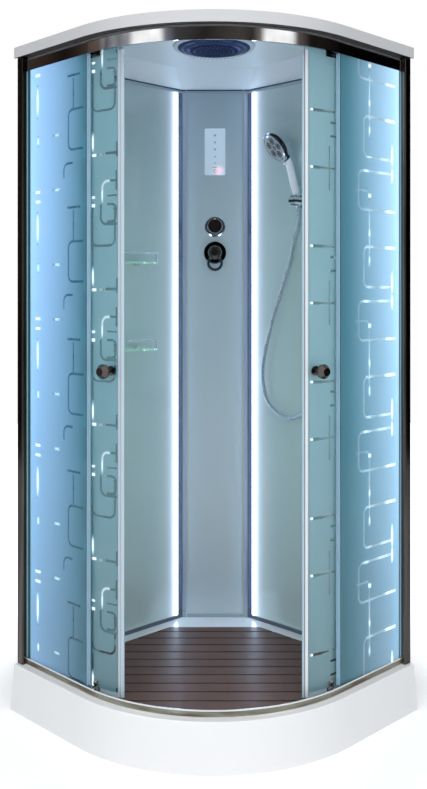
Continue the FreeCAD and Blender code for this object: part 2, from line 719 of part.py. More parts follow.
def make_deck():
    """Slats across the diagonal, trimmed to the basin, on bearers that run along it."""
    rear = "basin_d - deck_clear"
    front = "bend_d - bend_radius + basin_in + deck_clear"
    room = f"({rear}) - deck_rear_slat - deck_slot - deck_least_slat - ({front})"
    gap_count = int(val(room) / val("deck_pitch")) + 1
    slats = []
    for k in range(gap_count + 1):
        far = f"{rear} - deck_rear_slat - {k - 1} * deck_pitch - deck_slot" if k else rear
        near = f"{rear} - deck_rear_slat - {k} * deck_pitch" if k < gap_count else front
        low, high = ("-half_side", near, "deck_low"), ("half_side", far, "deck_top")
        slats.append(diagonal_box(f"slat_{k}", low, high))
    outline = block("deck_outline", plan("ledge_width + deck_clear", "basin_in + deck_clear", rear),
                    "deck_low - overrun", "deck_top + overrun")
    trimmed = doc.addObject("Part::Common", "deck_slats")
    trimmed.Base = group("slat_blanks", slats)
    trimmed.Tool = outline
    keep("deck_slats", trimmed)
    bearers = []
    for name in ("inner", "outer"):
        offset = f"bearer_{name}_offset"
        far = f"({offset} + bearer_width / 2)"
        start = f"bend_d - sqrt((bend_radius - basin_in - bearer_gap) ^ 2 - {far} ^ 2)"
        stop = "basin_d - bearer_gap"
        if name == "outer":
            stop = f"sqrt(2) * (half_side - ledge_width) - {far} - bearer_gap"
        for side in ("-", ""):
            low = (f"{side}{offset} - bearer_width / 2", start, "basin_floor")
            high = (f"{side}{offset} + bearer_width / 2", stop, "deck_low")
            bearers.append(diagonal_box(f"bearer_{name}_{len(bearers)}", low, high))
    keep("deck_bearers", group("deck_bearers", bearers))


# Back walls, posts and lights
def make_walls():
    low = "ledge_top + fit_gap"
    right = block("right_wall_panel", [
        ("corner_x + fit_gap", "wall_face"),
        ("post_in - fit_gap", "wall_face"),
        ("post_in - fit_gap", "wall_back"),
        ("corner_x + fit_gap", "wall_back"),
    ], low, "wall_top")
    hole = cylinder("outlet_pass", "outlet_body_radius + fit_gap", "glass + 2 * overrun",
                    vec("outlet_x", "wall_face - overrun", "outlet_z"), Vec(0, 1, 0))
    keep("right_wall_panel", cut("right_wall_panel_cut", right, hole))
    keep("left_wall_panel", mirror("left_wall_panel", right))
    panel = add_body("corner_panel")
    face = add_sketch(panel, "XZ_Plane", "-(panel_d + glass)")
    half = "panel_half - corner_strip"
    draw(face, [(f"-({half})", low), (half, low), (half, "wall_top"), (f"-({half})", "wall_top")])
    draw_circle(face, "0", "diverter_height", "neck_hole_radius")
    draw_circle(face, "0", "mixer_height", "neck_hole_radius")
    extrude(panel, face, "glass")
    keep("corner_panel", panel, TURN_DIAGONAL)
    strip_at = "wall_face - fit_gap"
    led = block("led_strip_right", [
        ("corner_x + led_margin", f"{strip_at} - led_thick"),
        ("corner_x + led_margin + led_width", f"{strip_at} - led_thick"),
        ("corner_x + led_margin + led_width", strip_at),
        ("corner_x + led_margin", strip_at),
    ], f"{low} + trim_tall + overrun", "wall_top - trim_tall - overrun")
    side = block("post_light_strip_right", [
        ("post_in - fit_gap - led_width", f"{strip_at} - led_thick"),
        ("post_in - fit_gap", f"{strip_at} - led_thick"),
        ("post_in - fit_gap", strip_at),
        ("post_in - fit_gap - led_width", strip_at),
    ], "tray_top + trim_tall + overrun", "wall_top - trim_tall - overrun")
    keep_both("wall_light_strips", [led, side])


def make_corner_strip():
    """Cover strip folded over the joint of the corner panel and the right wall panel."""
    tip_x = "corner_x + corner_strip * tan(22.5)"
    return block("corner_strip_right", [
        ("corner_x", "wall_face - fit_gap"),
        ("corner_x + corner_strip_length", "wall_face - fit_gap"),
        ("corner_x + corner_strip_length", "wall_face - corner_strip"),
        (tip_x, "wall_face - corner_strip"),
        ("corner_x - (corner_strip_length - corner_strip) / sqrt(2)",
         "wall_face - (corner_strip_length + corner_strip) / sqrt(2)"),
        ("corner_x - (corner_strip_length - fit_gap) / sqrt(2)",
         "wall_face - (corner_strip_length + fit_gap) / sqrt(2)"),
    ], "ledge_top + fit_gap", "wall_top")


def make_trims():
    """Folded strips over the two upright joints, and channels along the foot and the head of the walls."""
    strip = make_corner_strip()
    trims = [strip, mirror("corner_strip_left", strip)]
    for name, low, high in (
        ("sill_trim", "ledge_top + fit_gap", "ledge_top + fit_gap + trim_tall"),
        ("head_trim", "wall_top - trim_tall", "wall_top"),
    ):
        start = "corner_x + corner_strip_length + fit_gap"
        right = block(name + "_right", [
            (start, "wall_face - fit_gap - trim_thick"),
            ("post_in - fit_gap", "wall_face - fit_gap - trim_thick"),
            ("post_in - fit_gap", "wall_face - fit_gap"),
            (start, "wall_face - fit_gap"),
        ], low, high)
        half = "panel_half - corner_strip_length - corner_strip"
        middle = block(name + "_middle", [
            (f"-({half})", "panel_d - fit_gap - trim_thick"),
            (half, "panel_d - fit_gap - trim_thick"),
            (half, "panel_d - fit_gap"),
            (f"-({half})", "panel_d - fit_gap"),
        ], low, high)
        middle.Placement = TURN_DIAGONAL
        trims += [right, middle, mirror(name + "_left", right)]
    keep("wall_trims", group("wall_trims", trims))


def make_posts():
    post = add_body("wall_post_right")
    ring = add_sketch(post, lift="tray_top + fit_gap")
    draw(ring, [
        ("post_in", "post_side"),
        ("post_face - post_round", "post_side"),
        ("post_face", "post_side + post_round", "post_face - post_round", "post_side + post_round", 1),
        ("post_face", "half_side"),
        ("post_in", "half_side"),
    ])
    inner = "post_round - post_wall"
    draw(ring, [
        ("post_in + post_wall", "post_side + post_wall"),
        ("post_face - post_round", "post_side + post_wall"),
        ("post_face - post_wall", "post_side + post_round",
         "post_face - post_round", "post_side + post_round", 1),
        ("post_face - post_wall", "half_side - post_wall"),
        ("post_in + post_wall", "half_side - post_wall"),
    ])
    extrude(post, ring, "wall_top - tray_top - fit_gap")
    keep_both("wall_posts", [post])


def make_post_gasket():
    """Channel of rubber that holds the fixed pane's edge against the wall post."""
    gasket = block("post_gasket_right", [
        ("pane_back - gasket_wall", "post_side - fit_gap - gasket_width"),
        ("pane_back - fit_gap / 2", "post_side - fit_gap - gasket_width"),
        ("pane_back - fit_gap / 2", "pane_end + fit_gap / 2"),
        ("pane_face + fit_gap / 2", "pane_end + fit_gap / 2"),
        ("pane_face + fit_gap / 2", "post_side - fit_gap - gasket_width"),
        ("pane_face + gasket_wall", "post_side - fit_gap - gasket_width"),
        ("pane_face + gasket_wall", "post_side - fit_gap"),
        ("pane_back - gasket_wall", "post_side - fit_gap"),
    ], "bottom_rail_top + fit_gap", "top_rail_low - fit_gap")
    return gasket


# Rails and fixed panes
def make_rails():
    inner = "rail_line - rail_face"
    lip_out = "rail_line - groove_width"
    lip_in = f"{lip_out} - lip_wall"
    back = "rail_line - rail_depth"
    web = f"{back} + rail_face"
    top = [
        ("rail_line", "top_rail_low"),
        ("rail_line", "wall_top"),
        (back, "wall_top"),
        (back, "track_low"),
        ("rail_line - track_inner", "track_low"),
        ("rail_line - track_inner", "track_height"),
        (web, "track_height"),
        (web, "wall_top - rail_face"),
        (inner, "wall_top - rail_face"),
        (inner, "top_rail_low + groove_depth + rail_face"),
        (lip_in, "top_rail_low + groove_depth + rail_face"),
        (lip_in, "top_rail_low + rail_face"),
        (lip_out, "top_rail_low + rail_face"),
        (lip_out, "top_rail_low + groove_depth"),
        (inner, "top_rail_low + groove_depth"),
        (inner, "top_rail_low"),
    ]
    keep("top_rail", swept("top_rail", top, rail_path("rail_line"), "rail_end"))
    low = "tray_top + fit_gap / 2"
    floor = "tray_top + rail_face"
    bottom = [
        ("rail_line", low),
        ("rail_line", "bottom_rail_top"),
        (inner, "bottom_rail_top"),
        (inner, floor),
        (lip_out, floor),
        (lip_out, f"{floor} + lip_tall"),
        (lip_in, f"{floor} + lip_tall"),
        (lip_in, floor),
        ("rail_line - bottom_rail_depth", floor),
        ("rail_line - bottom_rail_depth", low),
    ]
    keep("bottom_rail", swept("bottom_rail", bottom, rail_path("rail_line"), "rail_end"))


def make_panes():
    gasket = make_post_gasket()
    pane = block("fixed_pane_right", [
        ("pane_back", "pane_start"),
        ("pane_face", "pane_start"),
        ("pane_face", "pane_end"),
        ("pane_back", "pane_end"),
    ], "pane_low", "pane_high")
    keep_pair("fixed_pane", pane)
    gap = "fit_gap / 2"
    seal = block("pane_seal_right", [
        (f"pane_back - {gap} - seal_wall", "pane_start - seal_fin"),
        (f"pane_back - {gap}", "pane_start - seal_fin"),
        (f"pane_back - {gap}", f"pane_start - {gap} - seal_wall"),
        (f"pane_face + {gap} + seal_wall", f"pane_start - {gap} - seal_wall"),
        (f"pane_face + {gap} + seal_wall", "pane_start + seal_width - seal_fin"),
        (f"pane_face + {gap}", "pane_start + seal_width - seal_fin"),
        (f"pane_face + {gap}", f"pane_start - {gap}"),
        (f"pane_back - {gap}", f"pane_start - {gap}"),
        (f"pane_back - {gap}", "pane_start + seal_width - seal_fin"),
        (f"pane_back - {gap} - seal_wall", "pane_start + seal_width - seal_fin"),
    ], "bottom_rail_top + fit_gap", "top_rail_low - fit_gap")
    keep_both("pane_seals", [gasket, seal])


# Doors, drawn shut with the leading edges together on the diagonal
OPEN_RIGHT = Place(Vec(0, 0, 0), Rot(Vec(0, 0, 1), val("door_turn_degrees")), vec("pole_x", "pole_y", "0"))
OPEN_DIAGONAL = OPEN_RIGHT.multiply(TURN_DIAGONAL)


def radial(radius, back_degrees, height):
    """Placement on the shut right door: its Z points outward, so many degrees behind the leading edge."""
    angle = math.radians(val(back_degrees) - 45)
    outward = Vec(math.cos(angle), math.sin(angle), 0)
    point = vec("bend_x", "bend_y", height) + outward * val(radius)
    return facing(point, outward)


def sector(inner, outer, start, stop):
    """Ring sector of the shut right door between two angles, in degrees behind the leading edge."""
    corners = []
    for radius, angle in ((outer, start), (outer, stop), (inner, stop), (inner, start)):
        x = f"bend_x + ({radius}) * cos({angle} - 45)"
        y = f"bend_y + ({radius}) * sin({angle} - 45)"
        corners.append((x, y))
    corners[1] += ("bend_x", "bend_y", 1)
    corners[3] += ("bend_x", "bend_y", -1)
    return corners


ROLLERS = (("lead", "lead_roller_degrees"), ("tail", "tail_roller_degrees"))


def make_doors():
    seal = "(fit_gap + magnet_width) / door_out * 180 / pi"
    start = f"({seal}) + edge_wall / door_out * 180 / pi"
    glass = block("door_glass", sector("door_in", "door_out", start, "45 + door_tail_degrees"),
                  "door_low", "door_high")
    holes = []
    for height in ("top_bolt_height", "low_bolt_height"):
        for which, back in ROLLERS:
            spot = radial("door_in - overrun", back, height)
            hole = cylinder(f"glass_hole_{which}_{height}", "bolt_radius + bolt_gap", "glass + 2 * overrun")
            hole.Placement = spot
            holes.append(hole)
    knob_hole = cylinder("glass_hole_knob", "knob_stem_radius + bolt_gap", "glass + 2 * overrun")
    knob_hole.Placement = radial("door_in - overrun", "knob_back_degrees", "knob_height")
    holes.append(knob_hole)
    keep_pair("door_glass", cut("door_glass_cut", glass, holes), OPEN_RIGHT)

    # edge channel and magnetic strip, in the frame turned to the diagonal
    out = "bend_d - door_out"
    near = f"{out} - edge_wall - fit_gap"
    far = f"{out} + glass + edge_wall + edge_inset"
    u0 = "fit_gap + magnet_width"
    edge = block("door_edge_profile", [
        (u0, near),
        (f"{u0} + edge_width", near),
        (f"{u0} + edge_width", f"{out} - fit_gap"),
        (f"{u0} + edge_wall - fit_gap", f"{out} - fit_gap"),
        (f"{u0} + edge_wall - fit_gap", f"{out} + glass + edge_inset"),
        (f"{u0} + edge_width", f"{out} + glass + edge_inset"),
        (f"{u0} + edge_width", far),
        (u0, far),
    ], "edge_low", "edge_high")
    middle = f"{out} + glass / 2"
    magnet = block("door_magnet_strip", [
        ("fit_gap", f"{middle} - magnet_thick / 3"),
        (f"{u0} - fit_gap / 2", f"{middle} - magnet_thick / 2"),
        (f"{u0} - fit_gap / 2", f"{middle} + magnet_thick / 2"),
        ("fit_gap", f"{middle} + magnet_thick / 3"),
    ], "edge_low", "edge_high")
    cap = block("door_edge_cap", [
        (f"{u0} - magnet_width / 2", near),
        (f"{u0} + edge_width", near),
        (f"{u0} + edge_width", f"{out} - fit_gap"),
        (f"{u0} + edge_wall - fit_gap", f"{out} - fit_gap"),
        (f"{u0} + edge_wall - fit_gap", f"{out} + glass + edge_inset"),
        (f"{u0} + edge_width", f"{out} + glass + edge_inset"),
        (f"{u0} + edge_width", far),
        (f"{u0} - magnet_width / 2", far),
    ], "edge_high + fit_gap", "edge_high + fit_gap + edge_cap_tall")
    keep_pair("door_edge_profile", group("door_edge_pieces", [edge, cap]), OPEN_DIAGONAL)

    # drip strips under the glass, open where the lower rollers stand
    drip_out = "door_out - (glass - drip_thick) / 2"
    drip_in = f"{drip_out} - drip_thick"
    half_break = "drip_break / door_out * 180 / pi"
    spans = [
        (f"{seal} + edge_width / door_out * 180 / pi + fit_gap / door_out * 180 / pi",
         f"lead_roller_degrees - {half_break}"),
        (f"lead_roller_degrees + {half_break}", f"tail_roller_degrees - {half_break}"),
        (f"tail_roller_degrees + {half_break}", "45 + door_tail_degrees"),
    ]
    magnet.Placement = TURN_DIAGONAL
    strips = [magnet]
    for i, (a, b) in enumerate(spans):
        strips.append(block(f"drip_{i}", sector(drip_in, drip_out, a, b),
                            "door_low - fit_gap / 2 - drip_tall", "door_low - fit_gap / 2"))
    keep_pair("door_seals", group("door_seal_pieces", strips), OPEN_RIGHT)

    # knob through the glass: rose, neck and ball outside, button inside
    ball = "knob_out - knob_ball_radius"
    flat = "knob_ball_radius * 0.55"
    knob = turned("door_knob", [
        ("0", "knob_out"),
        (flat, "knob_out"),
        ("knob_ball_radius", f"{ball} + knob_neck_radius"),
        ("knob_ball_radius", ball),
        (flat, f"{ball} - knob_ball_radius * 0.5"),
        ("knob_neck_radius", f"{ball} - knob_ball_radius * 0.6"),
        ("knob_neck_radius", "glass + knob_rose_thick + fit_gap"),
        ("knob_rose_radius", "glass + knob_rose_thick * 0.7 + fit_gap"),
        ("knob_rose_radius", "glass + fit_gap"),
        ("knob_stem_radius", "glass + fit_gap"),
        ("knob_stem_radius", "-fit_gap"),
        ("knob_rose_radius", "-fit_gap"),
        ("knob_rose_radius", "-knob_rose_thick"),
        ("knob_neck_radius", "-knob_rose_thick - fit_gap"),
        ("knob_inner_radius", "-knob_inner_deep * 0.55"),
        ("knob_inner_radius", "-knob_inner_deep * 0.85"),
        ("knob_inner_radius * 0.6", "-knob_inner_deep"),
        ("0", "-knob_inner_deep"),
    ])
    spot = radial("door_in", "knob_back_degrees", "knob_height")
    keep_pair("door_knob", knob, OPEN_RIGHT.multiply(spot))

    make_rollers()


def hanger(name, bolt_height, axle_height, axle, wheel_near, low, high, covered=False):
    """Plate behind the glass with its bolt, cap and washer, its cover if it has one, and the axle."""
    plate = block(name + "_plate", [
        ("-bracket_wide / 2", f"{low} - {bolt_height}"),
        ("bracket_wide / 2", f"{low} - {bolt_height}"),
        ("bracket_wide / 2", f"{high} - {bolt_height}"),
        ("-bracket_wide / 2", f"{high} - {bolt_height}"),
    ], "-fit_gap - bracket_thick", "-fit_gap")
    pieces = [plate]
    bolt = turned(name + "_bolt", [
        ("0", "-fit_gap - bracket_thick - cap_deep"),
        ("cap_radius * 0.8", "-fit_gap - bracket_thick - cap_deep"),
        ("cap_radius", "-fit_gap - bracket_thick - cap_deep * 0.7"),
        ("cap_radius", "-fit_gap - bracket_thick"),
        ("bolt_radius", "-fit_gap - bracket_thick"),
        ("bolt_radius", "glass + fit_gap"),
        ("washer_radius", "glass + fit_gap"),
        ("washer_radius * 0.8", "glass + fit_gap + washer_thick"),
        ("0", "glass + fit_gap + washer_thick"),
    ])
    pieces.append(bolt)
    if covered:
        pieces.append(block(name + "_cover", [
            ("-cover_wide / 2", "-cover_tall / 2"),
            ("cover_wide / 2", "-cover_tall / 2"),
            ("cover_wide / 2", "cover_tall / 2"),
            ("-cover_wide / 2", "cover_tall / 2"),
        ], "glass + fit_gap", "glass + fit_gap + cover_thick"))
    start, stop = wheel_near
    pin = cylinder(name + "_axle", axle, f"({stop}) - ({start})",
                   vec("0", f"{axle_height} - {bolt_height}", start))
    pieces.append(pin)
    return fuse(name, pieces)


def make_rollers():
    plate_in = "-fit_gap - bracket_thick"
    top_start = f"{plate_in} - wheel_side_gap - top_wheel_width - fit_gap"
    top_axle = "track_height + top_wheel_radius + fit_gap"
    low_axle = "tray_top + rail_face + low_wheel_radius + fit_gap"
    low_stop = "-fit_gap + wheel_side_gap + low_wheel_width + fit_gap"
    hangers = []
    for which, back in ROLLERS:
        upper = hanger(f"top_hanger_{which}", "top_bolt_height", top_axle, "axle_radius",
                       (top_start, plate_in), "top_bolt_height - cap_radius",
                       f"{top_axle} + cap_radius / 2", covered=True)
        upper.Placement = radial("door_in", back, "top_bolt_height")
        hangers.append(upper)
        lower = hanger(f"low_hanger_{which}", "low_bolt_height", low_axle, "low_axle_radius",
                       ("-fit_gap - bracket_thick / 2", low_stop), f"{low_axle} - low_wheel_radius / 2",
                       "low_bolt_height + cap_radius")
        lower.Placement = radial("door_in", back, "low_bolt_height")
        hangers.append(lower)
    keep_pair("door_hangers", group("door_hanger_pieces", hangers), OPEN_RIGHT)
    for which, back in ROLLERS:
        bevel = "wheel_side_gap"
        wheel = turned(f"top_wheel_{which}", [
            ("axle_radius + axle_gap", "0"),
            (f"top_wheel_radius - {bevel}", "0"),
            ("top_wheel_radius", bevel),
            ("top_wheel_radius", f"top_wheel_width - {bevel}"),
            (f"top_wheel_radius - {bevel}", "top_wheel_width"),
            ("axle_radius + axle_gap", "top_wheel_width"),
        ])
        spot = radial(f"door_in + {plate_in} - wheel_side_gap - top_wheel_width", back, top_axle)
        keep_pair(f"top_wheel_{which}", wheel, OPEN_RIGHT.multiply(spot))
        small = turned(f"low_wheel_{which}", [
            ("low_axle_radius + axle_gap", "0"),
            (f"low_wheel_radius - {bevel}", "0"),
            ("low_wheel_radius", bevel),
            ("low_wheel_radius", f"low_wheel_width - {bevel}"),
            (f"low_wheel_radius - {bevel}", "low_wheel_width"),
            ("low_axle_radius + axle_gap", "low_wheel_width"),
        ])
        spot = radial("door_in - fit_gap + wheel_side_gap", back, low_axle)
        keep_pair(f"low_wheel_{which}", small, OPEN_RIGHT.multiply(spot))


# Roof and overhead shower
def make_roof():
    body = add_body("roof_shell")
    flange = add_sketch(body, lift="roof_seat")
    draw(flange, plan("0", "skirt_flare"))
    extrude(body, flange, "roof_shell")
    rim = add_sketch(body, lift="roof_seat")
    draw(rim, plan("0", "skirt_flare"))
    draw(rim, plan("roof_shell", "skirt_flare + roof_shell"))
    extrude(body, rim, "roof_rim_top - roof_seat")
    skirt = add_sketch(body, lift="roof_rim_low")
    skirt_in = "rim_line - roof_shell"
    draw(skirt, [
        ("rim_line", "half_side"),
        (skirt_in, "half_side"),
        (skirt_in, "bend_y"),
        ("bend_x", f"-({skirt_in})", "bend_x", "bend_y", -1),
        ("-half_side", f"-({skirt_in})"),
        ("-half_side", "-rim_line"),
        ("bend_x", "-rim_line"),
        ("rim_line", "bend_y", "bend_x", "bend_y", 1),
    ])
    extrude(body, skirt, "roof_seat - roof_rim_low")
    shell = "roof_shell"
    cut_low, cut_high = "corner_d - dish_cut_low", "corner_d - dish_cut_high"
    foot = add_sketch(body, lift="roof_seat + roof_shell / 2")
    draw(foot, plan(f"dish_wall_low - {shell}", f"dish_free_low - {shell}", f"{cut_low} + {shell}"))
    crown = add_sketch(body, lift="ceiling + roof_shell")
    draw(crown, plan(f"dish_wall_high - {shell}", f"dish_free_high - {shell}", f"{cut_high} + {shell}"))
    hump = body.newObject("PartDesign::AdditiveLoft", "roof_hump")
    hump.Profile = foot
    hump.Sections = [crown]
    hump.Ruled = True
    mouth = add_sketch(body, lift="roof_seat - overrun")
    draw(mouth, plan("dish_wall_low", "dish_free_low", cut_low))
    flat = add_sketch(body, lift="ceiling")
    draw(flat, plan("dish_wall_high", "dish_free_high", cut_high))
    dish = body.newObject("PartDesign::SubtractiveLoft", "roof_dish")
    dish.Profile = mouth
    dish.Sections = [flat]
    dish.Ruled = True
    doc.recompute()
    holes = add_sketch(body, lift="ceiling + roof_shell + overrun")
    draw_circle(holes, "-overhead_d / sqrt(2)", "overhead_d / sqrt(2)", "roof_hole_radius")
    extrude(body, holes, "roof_shell + 2 * overrun", "Pocket")
    pipe_at = "corner_d - pipe_back"
    pass_hole = add_sketch(body, lift="roof_seat + roof_shell + overrun")
    draw_circle(pass_hole, f"-({pipe_at}) / sqrt(2)", f"({pipe_at}) / sqrt(2)", "pipe_hole_radius")
    extrude(body, pass_hole, "roof_shell + 2 * overrun", "Pocket")
    keep("roof_shell", body)


def make_overhead():
    centre = on_diagonal("0", "overhead_d", "0")
    here = Place(centre, Rot())
    seat = "ceiling - fit_gap"
    bezel = turned("overhead_bezel", [
        ("overhead_radius + fit_gap", seat),
        ("bezel_radius", seat),
        ("bezel_radius - overhead_wall / 2", "bezel_low"),
        ("overhead_radius + fit_gap", "bezel_low"),
    ])
    keep("overhead_bezel", bezel, here)
    ring = turned("overhead_ring", [
        ("overhead_radius", "overhead_ring_low"),
        ("overhead_radius", "overhead_ring_low + overhead_wall"),
        ("overhead_disc_radius + fit_gap", "overhead_inner_low + overhead_wall"),
        ("overhead_disc_radius + fit_gap", "overhead_inner_low"),
    ])
    disc = turned("overhead_disc", [
        ("0", "overhead_disc_low"),
        ("overhead_disc_radius * 0.75", "overhead_disc_low + overhead_wall / 4"),
        ("overhead_disc_radius - overhead_wall / 4", "overhead_disc_low + overhead_wall / 2"),
        ("overhead_disc_radius", "overhead_disc_low + overhead_wall"),
        ("overhead_disc_radius", "overhead_inner_low + overhead_wall"),
        ("0", "overhead_inner_low + overhead_wall"),
    ])
    keep("overhead_rose", group("overhead_rose", [ring, disc]), here)
    low = "ceiling + roof_shell + fit_gap"
    housing = turned("overhead_housing", [
        ("0", "cabin_top"),
        ("inlet_radius * 0.9", "cabin_top"),
        ("inlet_radius", "cabin_top - inlet_radius * 0.1"),
        ("inlet_radius", "housing_top"),
        ("housing_crown_radius", "housing_top"),
        ("housing_radius", f"{low} + overhead_wall * 3"),
        ("housing_radius", low),
        ("overhead_radius - overhead_wall", low),
        ("overhead_radius - overhead_wall", "overhead_ring_low + overhead_wall + fit_gap"),
        ("overhead_disc_radius", "overhead_inner_low + overhead_wall + fit_gap * 2"),
        ("overhead_disc_radius", f"{low} + overhead_wall * 3"),
        ("0", f"{low} + overhead_wall * 3"),
    ])
    keep("overhead_housing", housing, here)


# Controls on the corner panel, drawn with Z out of the panel and Y up
def make_controls():
    back = "panel_d - fit_gap"
    touch = block("control_panel", [
        ("-touch_half_width", "-touch_tall / 2"),
        ("touch_half_width", "-touch_tall / 2"),
        ("touch_half_width", "touch_tall / 2"),
        ("-touch_half_width", "touch_tall / 2"),
    ], "0", "touch_thick")
    doc.recompute()
    tall = val("touch_thick")
    round_edges(touch, "touch_thick / 2", lambda e: e.BoundBox.ZMax - e.BoundBox.ZMin > tall / 2)
    keep("control_panel", touch, facing(on_diagonal("0", back, "touch_height"), OUTWARD))

    divert = facing(on_diagonal("0", back, "diverter_height"), OUTWARD)
    rose = turned("diverter_rose", [
        ("stem_radius + fit_gap", "0"),
        ("diverter_rose_radius", "0"),
        ("diverter_rose_radius", "rose_thick / 2"),
        ("diverter_rose_radius - rose_thick / 2", "rose_thick"),
        ("stem_radius + fit_gap", "rose_thick"),
    ])
    rose.Placement = divert
    knob = add_body("diverter_knob")
    profile = add_sketch(knob, "XZ_Plane")
    face_at = "rose_thick + fit_gap + diverter_knob_deep"
    draw(profile, [
        ("0", "-glass"),
        ("stem_radius", "-glass"),
        ("stem_radius", "rose_thick + fit_gap"),
        ("diverter_knob_radius", "rose_thick + fit_gap"),
        ("diverter_knob_radius * 0.92", f"{face_at} - notch_deep / 2"),
        ("diverter_knob_radius * 0.84", face_at),
        ("0", face_at),
    ])
    spin = knob.newObject("PartDesign::Revolution", "diverter_turn")
    spin.Profile = profile
    spin.ReferenceAxis = (profile, ["V_Axis"])
    notch = add_sketch(knob, lift=face_at)
    draw(notch, [
        ("-notch_width / 2", "diverter_knob_radius * 0.4"),
        ("notch_width / 2", "diverter_knob_radius * 0.4"),
        ("notch_width / 2", "diverter_knob_radius + overrun"),
        ("-notch_width / 2", "diverter_knob_radius + overrun"),
    ])
    extrude(knob, notch, "notch_deep", "Pocket")
    keep("diverter_knob", knob, divert)

    mix = facing(on_diagonal("0", back, "mixer_height"), OUTWARD)
    plate = turned("mixer_rose", [
        ("spindle_radius + fit_gap", "0"),
        ("mixer_rose_radius", "0"),
        ("mixer_rose_radius", "rose_thick / 2"),
        ("mixer_rose_radius - rose_thick / 2", "rose_thick"),
        ("spindle_radius + fit_gap", "rose_thick"),
    ])
    plate.Placement = mix
    keep("control_roses", group("control_roses", [rose, plate]))
    spindle = turned("mixer_spindle", [
        ("0", "-glass"),
        ("spindle_radius", "-glass"),
        ("spindle_radius", "rose_thick + fit_gap"),
        ("spindle_radius * 0.8", "rose_thick + spindle_radius * 0.2"),
        ("pivot_neck", "rose_thick + spindle_radius * 0.2"),
        ("pivot_neck", "pivot_out - sqrt(pivot_radius * pivot_radius - pivot_neck * pivot_neck)"),
        ("0", "pivot_out + pivot_radius", "0", "pivot_out", 1),
    ])
    keep("mixer_spindle", spindle, mix)
    cap = turned("mixer_cap", [
        ("spindle_radius", "cap_back"),
        ("mixer_cap_radius", "cap_back"),
        ("mixer_cap_radius", "cap_back + mixer_cap_deep * 0.6"),
        ("mixer_cap_radius * 0.85", "cap_back + mixer_cap_deep * 0.9"),
        ("mixer_cap_radius * 0.5", "cap_back + mixer_cap_deep"),
        ("0", "cap_back + mixer_cap_deep"),
        ("0", "pivot_out + pivot_radius + fit_gap"),
        ("pivot_radius + fit_gap", "pivot_out + pivot_radius + fit_gap"),
        ("pivot_radius + fit_gap", "pivot_out - pivot_radius / 2"),
    ])
    loop = doc.addObject("Part::Torus", "mixer_loop")
    bind(loop, "Radius1", "loop_radius")
    bind(loop, "Radius2", "loop_section")
    loop.Placement = Place(vec("0", "-loop_drop", "loop_out"), Rot())
    lever = fuse("mixer_lever", [cap, loop])
    keep("mixer_lever", lever, mix)


# Valve, pipes and power unit in the corner behind the panel
def make_services():
    near = "panel_d + glass + valve_near"
    far = "panel_d + glass + valve_far"
    block_body = add_body("valve_block")
    front = add_sketch(block_body, lift="valve_low")
    draw(front, [
        ("-valve_half_width", near),
        ("valve_half_width", near),
        ("valve_half_width", far),
        ("-valve_half_width", far),
    ])
    extrude(block_body, front, "valve_high - valve_low")
    pieces = [block_body]
    start = "panel_d + glass / 2"
    for name, height, bore in (
        ("diverter_neck", "diverter_height", "stem_radius + fit_gap"),
        ("mixer_neck", "mixer_height", "spindle_radius + fit_gap"),
    ):
        neck = add_body(name)
        sketch = add_sketch(neck, "XZ_Plane", f"-({near} + overrun)")
        draw_circle(sketch, "0", height, "valve_neck_radius")
        draw_circle(sketch, "0", height, bore)
        extrude(neck, sketch, f"{near} + overrun - ({start}) - glass")
        pieces.append(neck)
    for name, u in (("hot_tail", "-tail_spread"), ("cold_tail", "tail_spread")):
        tail = cylinder(name, "tail_radius", "tail_length + overrun",
                        vec(u, f"{far} - overrun", "valve_low + tail_rise"), Vec(0, 1, 0))
        pieces.append(tail)
    keep("mixer_valve", fuse("mixer_valve", pieces), TURN_DIAGONAL)

    pipe_d = "corner_d - pipe_back"
    route = [
        ("0", pipe_d, "valve_high + fit_gap"),
        ("0", pipe_d, "pipe_over"),
        ("0", "overhead_d + inlet_radius + fit_gap", "pipe_over"),
    ]
    rise = tube("overhead_pipe", [on_diagonal(*p) for p in route], val("pipe_radius"),
                val("pipe_radius - pipe_wall"), val("pipe_bend"))
    feed_y = "half_side - feed_back"
    side = on_diagonal("valve_half_width + fit_gap", f"({near} + {far}) / 2", "outlet_z")
    out = vec("outlet_x - outlet_body_radius - fit_gap", feed_y, "outlet_z")
    bend = Vec(side.x + (out.y - side.y), out.y, out.z)
    run = tube("handset_feed_pipe", [side, bend, out], val("feed_radius"), None, val("feed_bend"))
    keep("feed_pipes", group("feed_pipes", [rise, run]))
    box_near = "panel_d + glass + fit_gap"
    power = block("power_unit", [
        ("-power_half_width", box_near),
        ("power_half_width", box_near),
        ("power_half_width", f"{box_near} + power_deep"),
        ("-power_half_width", f"{box_near} + power_deep"),
    ], "power_low", "power_high")
    keep("power_unit", power, TURN_DIAGONAL)


# Handset on its holder, hose and wall outlet
SIDE = math.tan(math.radians(val("holder_side_degrees")))
OFF_WALL = math.tan(math.radians(val("holder_wall_degrees")))
HANDSET_AXIS = Vec(-SIDE, -OFF_WALL, 1).normalize()
SOCKET = vec("-holder_x", "wall_face - socket_back", "holder_height")
ACROSS = HANDSET_AXIS.cross(Vec(0, -1, 0)).normalize()
STRAIGHT = Place(SOCKET, Rot(ACROSS.cross(HANDSET_AXIS), ACROSS, HANDSET_AXIS, "ZXY"))
TWIST = Place(Vec(0, 0, 0), Rot(Vec(0, 0, 1), -val("handset_twist_degrees")))
HANDSET = STRAIGHT.multiply(TWIST)
FACE_ANGLE = math.radians(val("head_face_degrees"))
HEAD = HANDSET.multiply(facing(
    vec("head_forward", "0", "head_up"),
    Vec(math.sin(FACE_ANGLE), 0, math.cos(FACE_ANGLE)),
))


